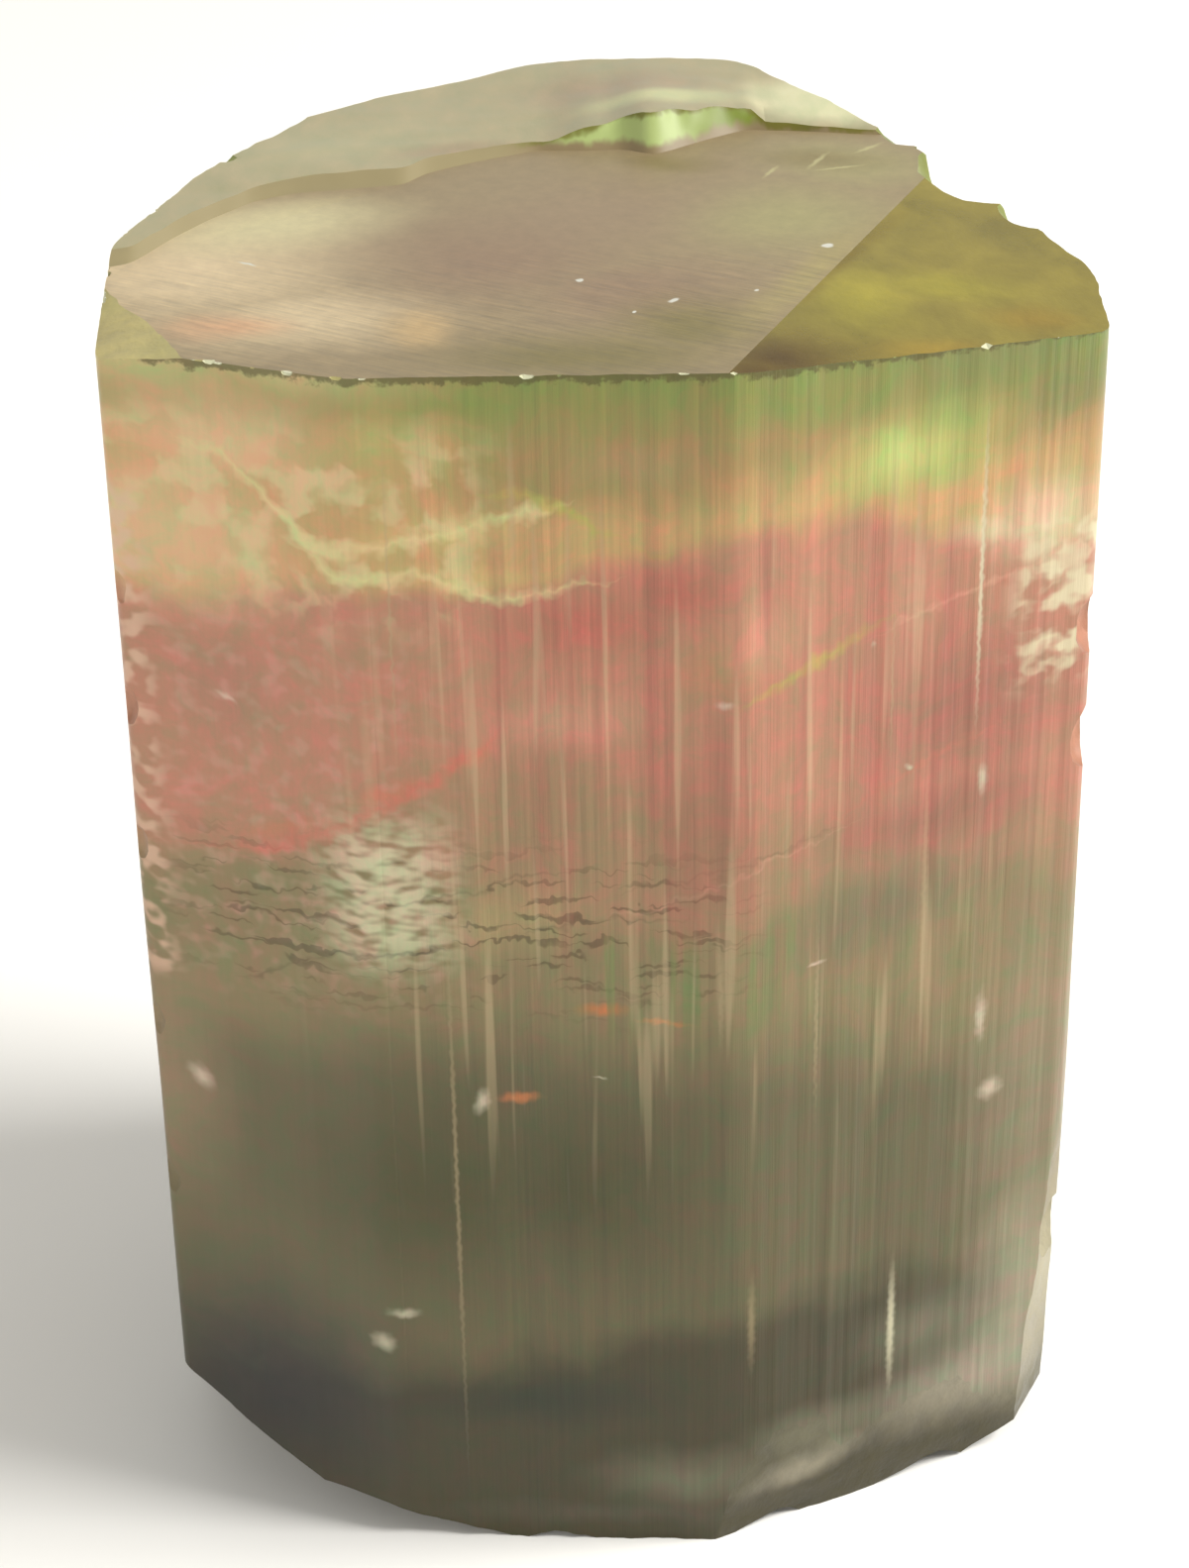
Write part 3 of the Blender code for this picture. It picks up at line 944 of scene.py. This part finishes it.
def unrolled(nodes):
    """The place on the side as the distance round the prism and the height, both in mm."""
    x, y, height = nodes.parts(nodes.place())
    turn = nodes.math("ARCTAN2", x, nodes.math("MULTIPLY", y, -1.0))
    return nodes.math("MULTIPLY", turn, AROUND_RADIUS), height


class Sheets:
    """A flat place, and the same place pushed about by noise, so that what is drawn on it has natural edges."""

    def __init__(self, nodes, flat):
        coarse = nodes.push(flat, 0.4)
        medium = nodes.push(flat, 1.7)
        fine = nodes.push(flat, 6.0, 0)
        self.flat = flat
        self.wavy = nodes.pushed(flat, (coarse, 1.3), (medium, 0.3))
        self.soft = nodes.pushed(flat, (coarse, 0.6), (medium, 0.22))
        self.torn = nodes.pushed(flat, (medium, 0.4), (fine, 0.14))
        self.rough = nodes.pushed(flat, (medium, 0.2), (fine, 0.08))
        self.thin = nodes.pushed(flat, (fine, 0.06))


def zone_colour(nodes, around, sheets):
    """The zones of the side, with wavy boundaries. One ramp holds three boundaries."""
    wavy = nodes.parts(sheets.wavy)[1]
    colour = seen(ZONES[0][3], SIDE_LIGHT)
    for first in range(1, len(ZONES), 3):
        group = ZONES[first : first + 3]
        courses = [boundary for _, boundary, _, _ in group]
        heights = nodes.heights(around, (courses * 3)[:3])
        for (name, _, width, paint), lowest in zip(group, heights):
            above = nodes.math("SUBTRACT", wavy, lowest)
            colour = nodes.blend(nodes.fade(above, -width / 2, width / 2), colour, seen(paint, SIDE_LIGHT))
    return colour


def band(nodes, value, low, high, soft):
    """1 where the value is between low and high, with soft ends."""
    rising = nodes.fade(value, low - soft, low + soft)
    falling = nodes.fade(value, high - soft, high + soft, 1.0, 0.0)
    return nodes.math("MULTIPLY", rising, falling)


def speckle(nodes, colour, vector, scale, edge, inside, paint, strength=0.9, detail=1):
    """Flecks of one colour where noise passes the two values of edge, kept to the area inside."""
    grain = nodes.fade(nodes.noise(vector, scale, detail, rough=0.65), *edge, 0.0, strength)
    return nodes.blend(nodes.math("MULTIPLY", grain, inside), colour, seen(paint, SIDE_LIGHT))


def area(nodes, around, height, reach, soft):
    """1 in the reach, given as the ends around and the ends in height, with soft ends."""
    first, last, low, high = reach
    return nodes.math("MULTIPLY", band(nodes, around, first, last, soft), band(nodes, height, low, high, soft))


def front_colour(nodes, around, height, sheets):
    """The colour of the front: zones, glows, speckles, strands and flecks."""
    colour = zone_colour(nodes, around, sheets)
    colour = add_patches(nodes, colour, sheets.soft, GLOWS, SIDE_LIGHT)
    left = area(nodes, around, height, (-11, -3, 24.8, 28.8), 1.0)
    colour = speckle(nodes, colour, sheets.torn, 1.1, (0.44, 0.68), left, (238, 206, 156), 0.65)
    rose = area(nodes, around, height, (-11, -4, 15.5, 25), 1.4)
    colour = speckle(nodes, colour, sheets.flat, 2.2, (0.46, 0.78), rose, (208, 164, 142), 0.4)
    slanted = nodes.add("Mapping", {"Vector": sheets.torn, "Rotation": (0, 0, math.radians(-8)), "Scale": (0.6, 6, 1)})
    cracked = area(nodes, around, height, (-9.5, 3, 15.4, 18.8), 1.2)
    colour = speckle(nodes, colour, slanted, 0.8, (0.58, 0.68), cracked, (84, 72, 50), 0.6)
    frosty = area(nodes, around, height, (-6.4, -4.0, 16.4, 19.8), 0.9)
    fuzzy = nodes.add("Mapping", {"Vector": sheets.flat, "Rotation": (0, 0, 0.3), "Scale": (1.6, 3.4, 1)})
    colour = speckle(nodes, colour, fuzzy, 1.0, (0.22, 0.64), frosty, (214, 206, 168), 0.95)
    for name, paint, strength, first, second in STRANDS:
        share = nodes.math("MULTIPLY", nodes.strands(sheets.torn, first, second), strength)
        colour = nodes.blend(share, colour, seen(paint, SIDE_LIGHT))
    return add_patches(nodes, colour, sheets.rough, FLECKS, SIDE_LIGHT)


def edge_glints_and_flecks(nodes, colour, sheets, around, height):
    """Bright broken flecks along the two upright edges of the front: painted glints on the chipped left edge, and pale
    flecks on the broken right edge.
    """
    left = area(nodes, around, height, (-10.6, -9.9, 15, 27), 0.25)
    # painted glints along the chipped left edge
    colour = speckle(nodes, colour, sheets.flat, 2.2, (0.42, 0.66), left, (228, 190, 162), 0.7)
    right = area(nodes, around, height, (9.8, 12.6, 21.6, 25.4), 0.5)
    return speckle(nodes, colour, sheets.torn, 1.5, (0.38, 0.7), right, (242, 218, 180), 0.85)


def rim_line(nodes, colour, height, sheets):
    """The broken line along the top edge of the front: dark, with pale grains."""
    x, y, _ = nodes.parts(nodes.place())
    along = (EDGE_BACK - EDGE_FRONT).normalized()
    start = (along.x * EDGE_FRONT.y - along.y * EDGE_FRONT.x) / MM
    past = nodes.math("MULTIPLY_ADD", y, -along.x, nodes.math("MULTIPLY_ADD", x, along.y, start))
    edge = nodes.math("MULTIPLY_ADD", x, TOP_RISE, TOP_HEIGHT / MM)
    fall = nodes.math("MULTIPLY", nodes.math("MAXIMUM", past, 0.0), math.tan(RIGHT_FACE_FALL))
    depth = nodes.math("SUBTRACT", nodes.math("SUBTRACT", edge, fall), height)
    grain = nodes.centred_noise(sheets.flat, 2.6, 3, 0.7)
    depth = nodes.math("ADD", depth, nodes.math("MULTIPLY", grain, RIM_UNEVEN))
    share = nodes.fade(depth, RIM_DEPTH - 0.06, RIM_DEPTH + 0.06, RIM_SHARE, 0.0)
    return nodes.blend(share, colour, seen(RIM_PAINT, SIDE_LIGHT))


def striation(nodes, around, height):
    """Fine upright lines, as lighter and darker shades about 0. The left of the front has few."""
    strands = nodes.combined(around, nodes.math("MULTIPLY", height, 0.012), 0.0)
    wide = nodes.centred_noise(strands, 1.6, 2)
    fine = nodes.centred_noise(strands, 7.0, 3, 0.8)
    both = nodes.math("ADD", nodes.math("MULTIPLY", wide, 0.4), fine)
    striated = nodes.fade(around, -5.4, -2.6, 0.2, 1.0)
    return nodes.math("MULTIPLY", both, striated)


def tinted(nodes, colour, amount, tint):
    """The colour made lighter or darker, channel by channel, by an amount about 0."""
    level = nodes.vector("MULTIPLY_ADD", amount, tint, (1, 1, 1))
    return nodes.vector("MULTIPLY", colour, level)


def shaded(nodes, colour, amount, strength):
    return tinted(nodes, colour, amount, (strength,) * 3)


def finish_surface(nodes, colour, roughness, height, distance, strength=0.5):
    """Joins what was made to the shader: colour, roughness and the fine relief."""
    nodes.join(colour, nodes.shader.inputs["Base Color"])
    nodes.join(roughness, nodes.shader.inputs["Roughness"])
    relief = nodes.add("Bump", {"Strength": strength, "Distance": distance * MM, "Height": height}, "Normal")
    nodes.join(relief, nodes.shader.inputs["Normal"])
    return nodes.material


# What the mottling does to red, green and blue: it turns the stone pinker here and greener there
SIDE_MOTTLE = (0.75, -0.3, 0.2)


def stone_grain(nodes, colour, around, height, sheets):
    """The colour with the striae and the mottling of the stone, and the striae on their own."""
    lines = striation(nodes, around, height)
    mottle = nodes.centred_noise(sheets.wavy, 1.3, 4, 0.68)
    return tinted(nodes, shaded(nodes, colour, lines, 0.55), mottle, SIDE_MOTTLE), lines


def start_side(name):
    """A side's material, its place round the prism and up it, and its sheets."""
    nodes = Nodes(name)
    make_clear(nodes)
    around, height = unrolled(nodes)
    return nodes, around, height, Sheets(nodes, nodes.combined(around, height, 0.0))


def front_material():
    """The striated front, with all that shows in it."""
    nodes, around, height, sheets = start_side("tourmaline_front")
    colour = front_colour(nodes, around, height, sheets)
    strands = nodes.combined(around, nodes.math("MULTIPLY", height, 0.06), 4.0)
    green = area(nodes, around, height, (-0.5, 5, 14.6, 17.2), 0.6)
    colour = speckle(nodes, colour, strands, 2.6, (0.42, 0.62), green, (122, 136, 84), 0.6)
    streaked = area(nodes, around, height, (-3.4, 11, 17, 27), 1.2)
    colour = speckle(nodes, colour, strands, 1.3, (0.5, 0.7), streaked, (172, 98, 88), 0.36)
    colour, lines = stone_grain(nodes, colour, around, height, sheets)
    sparse = nodes.combined(around, nodes.math("MULTIPLY", height, 0.035), 9.0)
    lined = area(nodes, around, height, (-5.6, 9.4, 12, 27), 3.0)
    colour = speckle(nodes, colour, sparse, 3.0, (0.60, 0.76), lined, (226, 202, 160), 0.3)
    colour = add_patches(nodes, colour, sheets.thin, LINES, SIDE_LIGHT)
    colour = edge_glints_and_flecks(nodes, colour, sheets, around, height)
    colour = rim_line(nodes, colour, height, sheets)
    return finish_surface(nodes, colour, nodes.fade(lines, -0.2, 0.2, 0.29, 0.40), lines, 0.03)


def back_material():
    """The striated back: the same zones, with the flecks of the rose zone all round."""
    nodes, around, height, sheets = start_side("tourmaline_back")
    colour = zone_colour(nodes, around, sheets)
    rose = band(nodes, height, 16.5, 26.5, 1.4)
    colour = speckle(nodes, colour, sheets.torn, 1.1, (0.5, 0.68), rose, (216, 164, 136), 0.5)
    strands = nodes.combined(around, nodes.math("MULTIPLY", height, 0.06), 4.0)
    colour = speckle(nodes, colour, strands, 1.3, (0.5, 0.7), rose, (172, 98, 88), 0.45)
    colour, lines = stone_grain(nodes, colour, around, height, sheets)
    return finish_surface(nodes, colour, nodes.fade(lines, -0.2, 0.2, 0.29, 0.40), lines, 0.03)


BASE_PAINTS = ((70, 66, 48), (90, 82, 58))


def base_material():
    """The face that the crystal stands on: about the lowest zone's colour, with an uneven grain."""
    nodes = Nodes("tourmaline_base")
    make_clear(nodes)
    grain = nodes.centred_noise(nodes.place(), 1.1, 2, 0.6)
    dark, pale = (seen(paint, SIDE_LIGHT) for paint in BASE_PAINTS)
    colour = nodes.blend(nodes.fade(grain, -0.2, 0.2), dark, pale)
    return finish_surface(nodes, colour, 0.36, grain, 0.02)


def break_material():
    """Broken faces: the zones of the stone, with an uneven glassy grain."""
    nodes = Nodes("tourmaline_break")
    make_clear(nodes)
    around, height = unrolled(nodes)
    sheets = Sheets(nodes, nodes.combined(around, height, 0.0))
    colour = zone_colour(nodes, around, sheets)
    colour = add_patches(nodes, colour, sheets.soft, GLOWS, SIDE_LIGHT)
    grain = nodes.centred_noise(nodes.place(), 1.6, 4, 0.6, "3D")
    colour = shaded(nodes, colour, grain, 0.9)
    return finish_surface(nodes, colour, nodes.fade(grain, -0.15, 0.15, 0.30, 0.48), grain, 0.12)


# What shows on the broad top face: a colour, strength, softness and spots as x, y, half lengths and turn
TOP_PAINT = (166, 150, 122)
TOP_GLOWS = (
    # A painted sheen, lighter at the left of the top face, over its paler colour
    ("pale_left_painted_light", (230, 206, 170), 0.95, 1.0, ((-8.8, -2.8, 5.6, 5.4, 0), (-6.4, -5.8, 4.2, 2.6, 0))),
    ("pale_green", (222, 214, 170), 0.8, 1.0, ((-7.0, -0.4, 4.2, 2.2, 8),)),
    ("salmon", (222, 178, 142), 0.8, 1.0, ((-7.8, -6.1, 2.0, 1.0, -5),)),
    ("peach", (208, 180, 136), 0.8, 0.9, ((-3.8, -6.5, 1.0, 1.5, 0),)),
    ("mauve", (158, 134, 116), 0.7, 1.0, ((-2.4, -2.8, 4.6, 4.2, -10), (0.6, -5.0, 3.6, 2.8, 0))),
    ("lilac", (166, 146, 124), 0.6, 1.0, ((0.6, -0.2, 4.6, 3.2, 0),)),
    ("green_right", (180, 178, 128), 0.6, 1.0, ((5.6, 2.2, 3.4, 2.2, -30), (4.2, -1.0, 3.4, 3.4, 0))),
    ("olive_front", (140, 131, 94), 0.85, 1.0, ((-0.4, -8.2, 5.0, 2.0, 0), (1.8, -6.8, 2.6, 2.6, 62))),
    ("gold_edge", (178, 166, 118), 0.7, 1.0, ((4.4, -4.2, 4.6, 0.9, 62),)),
    ("foot_shadow", (146, 132, 98), 0.7, 1.0, ((1.6, 2.6, 2.0, 0.7, -20), (5.0, 2.4, 2.4, 1.0, -12))),
)
TOP_MARKS = (
    (
        "fleck",
        (244, 238, 214),
        0.95,
        0.5,
        (
            (-0.47, -4.21, 0.1, 0.12, 0),
            (1.48, -5.48, 0.18, 0.1, 40),
            (0.65, -6.04, 0.06, 0.08, 0),
            (4.84, -2.76, 0.16, 0.14, 20),
            (3.2, -5.1, 0.07, 0.07, 0),
            (-7.6, -2.6, 0.3, 0.06, -35),
        ),
    ),
    (
        "vein",
        (206, 200, 152),
        0.7,
        0.9,
        ((4.95, 2.4, 0.8, 0.1, 63), (6.15, 3.1, 0.62, 0.1, 42), (3.85, 1.8, 0.56, 0.09, 63), (5.4, 1.9, 0.8, 0.08, 12)),
    ),
)
SCRATCH_TURN = math.radians(31)


def top_material():
    """The broad top face: satin, with brushed scratches towards the front."""
    nodes = Nodes("tourmaline_top")
    make_clear(nodes)
    x, y, height = nodes.parts(nodes.place())
    sheets = Sheets(nodes, nodes.combined(x, y, 0.0))
    colour = add_patches(nodes, seen(TOP_PAINT, TOP_LIGHT), sheets.soft, TOP_GLOWS, TOP_LIGHT)
    turned = nodes.add("Mapping", {"Vector": sheets.flat, "Rotation": (0, 0, SCRATCH_TURN)})
    brushed = nodes.add("Mapping", {"Vector": turned, "Scale": (0.5, 8.0, 1)})
    scratches = nodes.math("MULTIPLY", nodes.centred_noise(brushed, 1.2, 3, 0.7), nodes.fade(y, -1.0, -4.5, 0.15, 1.0))
    mottle = nodes.math("MULTIPLY", nodes.centred_noise(sheets.flat, 2.4, 3, 0.7), 0.4)
    colour = shaded(nodes, colour, nodes.math("ADD", mottle, scratches), 0.75)
    colour = add_patches(nodes, colour, sheets.thin, TOP_MARKS, TOP_LIGHT)
    return finish_surface(nodes, colour, nodes.fade(scratches, -0.2, 0.2, 0.34, 0.5), scratches, 0.02)


RIGHT_PAINT = (152, 140, 80)
RIGHT_GLOWS = (
    ("brown_corner", (104, 86, 26), 0.9, 1.0, ((3.4, -8.5, 3.0, 1.9, 20), (2.9, -9.2, 1.8, 1.6, 0))),
    # A painted reflection from inside the stone, brighter in the middle of the face, over its olive-yellow
    ("yellow_painted_reflection", (172, 162, 80), 0.9, 1.0, ((5.4, -5.4, 1.6, 2.4, -30), (7.2, -4.4, 2.4, 1.2, 10))),
    ("amber", (166, 140, 74), 0.7, 1.0, ((6.8, -7.4, 2.0, 0.9, 12), (9.0, -5.4, 1.6, 0.8, 20))),
    ("grey_back", (138, 128, 80), 0.8, 1.0, ((8.6, -1.4, 2.4, 1.4, -40),)),
    ("edge_shade", (134, 116, 56), 0.7, 1.0, ((5.0, -3.6, 4.6, 0.5, 62),)),
)


def right_top_material():
    """The face that falls to the right: glassy, with the stone's yellow depth and a painted inner reflection in its
    middle.
    """
    nodes = Nodes("tourmaline_right_top")
    make_clear(nodes, RIGHT_TOP_SPECULAR)
    x, y, height = nodes.parts(nodes.place())
    sheets = Sheets(nodes, nodes.combined(x, y, 0.0))
    colour = add_patches(nodes, seen(RIGHT_PAINT, RIGHT_TOP_LIGHT), sheets.soft, RIGHT_GLOWS, RIGHT_TOP_LIGHT)
    veil = nodes.centred_noise(sheets.wavy, 0.7, 3, 0.6)
    grain = nodes.centred_noise(sheets.flat, 7.0, 2, 0.7)
    colour = shaded(nodes, colour, nodes.math("ADD", veil, nodes.math("MULTIPLY", grain, 0.16)), 0.65)
    return finish_surface(nodes, colour, nodes.fade(grain, -0.2, 0.2, 0.14, 0.25), grain, 0.01)


STRIP_PAINT = (184, 176, 142)
STRIP_GLOWS = (
    ("green_grey", (188, 184, 148), 0.8, 1.0, ((-6.0, 4.0, 4.0, 2.2, 20),)),
    ("pink_grey", (178, 160, 134), 0.8, 1.0, ((0.4, 7.0, 3.6, 1.8, 0), (-3.2, 3.4, 2.2, 0.8, 10))),
    ("crest", (214, 216, 166), 0.85, 0.9, ((1.6, 5.5, 2.6, 0.9, 6),)),
    # A painted highlight on the back ridge at the right, where the light from behind falls on it
    ("bright_facet_painted_highlight", (238, 238, 184), 0.95, 0.7, ((5.0, 5.8, 2.4, 1.5, -35),)),
    ("olive_right", (168, 160, 108), 0.8, 1.0, ((6.0, 3.6, 2.4, 0.8, -20),)),
)


def ledge_material():
    """The top of the ledge across the back: faintly rippled."""
    nodes = Nodes("tourmaline_strip")
    make_clear(nodes)
    x, y, height = nodes.parts(nodes.place())
    sheets = Sheets(nodes, nodes.combined(x, y, 0.0))
    colour = add_patches(nodes, seen(STRIP_PAINT, TOP_LIGHT), sheets.soft, STRIP_GLOWS, TOP_LIGHT)
    stretched = nodes.add("Mapping", {"Vector": sheets.flat, "Rotation": (0, 0, -0.2), "Scale": (1.5, 0.8, 1)})
    ripple = nodes.centred_noise(stretched, 1.0, 4, 0.6)
    colour = tinted(nodes, colour, ripple, STRIP_MOTTLE)
    return finish_surface(nodes, colour, nodes.fade(ripple, -0.2, 0.2, 0.30, 0.42), ripple, 0.02)


STRIP_MOTTLE = (0.5, 0.3, 0.5)

# The ledge's face, from its foot up: colours, and how far above the top face each starts, in mm
# The foot's colour is a painted shadow; the green is the stone's green with a painted glow of light through it
RISER_FOOT_SHADOW = (158, 142, 112)
RISER_GREEN_GLOW = (190, 206, 138)
RISER_RIGHT = (136, 150, 74)
RISER_CREST = (128, 124, 66)
RISER_LEFT = (168, 156, 122)
RISER_GLOW_START = 0.16
RISER_CREST_WIDTH = 0.14
RISER_SPECULAR = 0.15


def riser_material():
    """The face of the ledge: the green stone with a painted glow of light through it in the middle, a painted shadow at
    its foot, and darker along its crest.
    """
    nodes = Nodes("tourmaline_riser")
    make_clear(nodes, RISER_SPECULAR)
    x, y, height = nodes.parts(nodes.place())
    sheets = Sheets(nodes, nodes.combined(x, y, 0.0))
    rise = nodes.math("SUBTRACT", height, nodes.math("MULTIPLY_ADD", x, TOP_RISE, TOP_HEIGHT / MM))
    uneven = nodes.math("MULTIPLY", nodes.centred_noise(sheets.flat, 2.4, 2), 0.3)
    rise = nodes.math("ADD", rise, uneven)
    grey, _ = nodes.ramp(x, [(at, (front, front, front, 1)) for at, front, _ in LEDGE_RISES])
    crest = nodes.parts(grey)[0]
    right = nodes.blend(nodes.fade(x, 1.6, 3.0), seen(RISER_GREEN_GLOW, TOP_LIGHT), seen(RISER_RIGHT, TOP_LIGHT))
    # the painted shadow at the foot gives way to the painted green glow above it
    lit = nodes.fade(rise, RISER_GLOW_START - 0.1, RISER_GLOW_START + 0.1)
    colour = nodes.blend(lit, seen(RISER_FOOT_SHADOW, TOP_LIGHT), right)
    below = nodes.math("SUBTRACT", crest, rise)
    dark = nodes.fade(below, 0.0, RISER_CREST_WIDTH, 0.85, 0.0)
    colour = nodes.blend(dark, colour, seen(RISER_CREST, TOP_LIGHT))
    colour = nodes.blend(nodes.fade(x, -2.4, -1.2, 1.0, 0.0), colour, seen(RISER_LEFT, TOP_LIGHT))
    return finish_surface(nodes, colour, 0.5, uneven, 0.02)


def painted_glint_material():
    """The chips along the rim, painted pale as a painted glint."""
    nodes = Nodes("tourmaline_painted_glint")
    make_clear(nodes)
    return finish_surface(nodes, seen(PAINTED_GLINT, SIDE_LIGHT), 0.2, nodes.centred_noise(nodes.place(), 6.0, 1), 0.02)


# The pale colour painted on those chips as a glint: a painted highlight
PAINTED_GLINT = (236, 232, 190)


def make_materials():
    return {
        "front": front_material(),
        "back": back_material(),
        "base": base_material(),
        "top": top_material(),
        "right_top": right_top_material(),
        "strip": ledge_material(),
        "riser": riser_material(),
        "break": break_material(),
        "glint": painted_glint_material(),
    }


# ---------------------------------------------------------------- the stage

CAMERA_PLACE = Vector((-0.341, -75.821, 59.387)) * MM
CAMERA_PITCH = math.radians(60)
CAMERA_ROLL = math.radians(-1)
CAMERA_LENS = 83.5
FLOOR_SIZE = 4.0


def build_floor():
    """A plain pale floor."""
    shape = bmesh.new()
    bmesh.ops.create_grid(shape, x_segments=1, y_segments=1, size=FLOOR_SIZE / 2)
    mesh = bpy.data.meshes.new("floor")
    shape.to_mesh(mesh)
    shape.free()
    nodes = Nodes("floor")
    nodes.join((0.9, 0.89, 0.86, 1), nodes.shader.inputs["Base Color"])
    nodes.join(0.7, nodes.shader.inputs["Roughness"])
    mesh.materials.append(nodes.material)
    floor = bpy.data.objects.new("floor", mesh)
    bpy.context.scene.collection.objects.link(floor)


def softbox(name, place, aim, size, power, colour):
    """A square soft light at place, facing aim."""
    light = bpy.data.lights.new(name, "AREA")
    light.shape = "SQUARE"
    light.size = size
    light.energy = power
    light.color = colour
    lamp = bpy.data.objects.new(name, light)
    place = Vector(place)
    facing = Vector(aim) - place
    lamp.matrix_world = Matrix.Translation(place) @ facing.to_track_quat("-Z", "Y").to_matrix().to_4x4()
    bpy.context.scene.collection.objects.link(lamp)


# The studio is brighter at the back: which way, and its strength from the dimmest to the brightest side
WORLD_BRIGHT_SIDE = (0.3, 1.0, 0.5)
WORLD_STRENGTH = (0.22, 0.74)


def light_stage():
    """A bright even studio with one large light at the right."""
    world = bpy.data.worlds.new("studio")
    world.use_nodes = True
    tree = world.node_tree
    background = tree.nodes["Background"]
    background.inputs["Color"].default_value = (1.0, 0.985, 0.94, 1)
    where = tree.nodes.new("ShaderNodeTexCoord")
    towards = tree.nodes.new("ShaderNodeVectorMath")
    towards.operation = "DOT_PRODUCT"
    towards.inputs[1].default_value = Vector(WORLD_BRIGHT_SIDE).normalized()
    strength = tree.nodes.new("ShaderNodeMapRange")
    strength.inputs["From Min"].default_value = -1.0
    strength.inputs["To Min"].default_value = WORLD_STRENGTH[0]
    strength.inputs["To Max"].default_value = WORLD_STRENGTH[1]
    tree.links.new(where.outputs["Generated"], towards.inputs[0])
    tree.links.new(towards.outputs["Value"], strength.inputs["Value"])
    tree.links.new(strength.outputs[0], background.inputs["Strength"])
    bpy.context.scene.world = world
    softbox("key", (0.24, -0.03, 0.22), (0, 0, 0.015), 0.14, 1.45, (1.0, 0.985, 0.96))
    softbox("fill", (-0.26, -0.28, 0.06), (0, 0, 0.015), 0.2, 0.85, (1.0, 0.985, 0.95))
    bpy.context.scene.view_settings.view_transform = "Standard"


def place_camera():
    camera = bpy.data.cameras.new("camera")
    camera.lens = CAMERA_LENS
    camera.clip_start = MM
    eye = bpy.data.objects.new("camera", camera)
    turned = Matrix.Rotation(CAMERA_PITCH, 4, "X") @ Matrix.Rotation(CAMERA_ROLL, 4, "Z")
    eye.matrix_world = Matrix.Translation(CAMERA_PLACE) @ turned
    bpy.context.scene.collection.objects.link(eye)
    bpy.context.scene.camera = eye


crystal = build_crystal(make_materials())
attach(crystal, "root")
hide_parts(NODE)
build_floor()
light_stage()
place_camera()
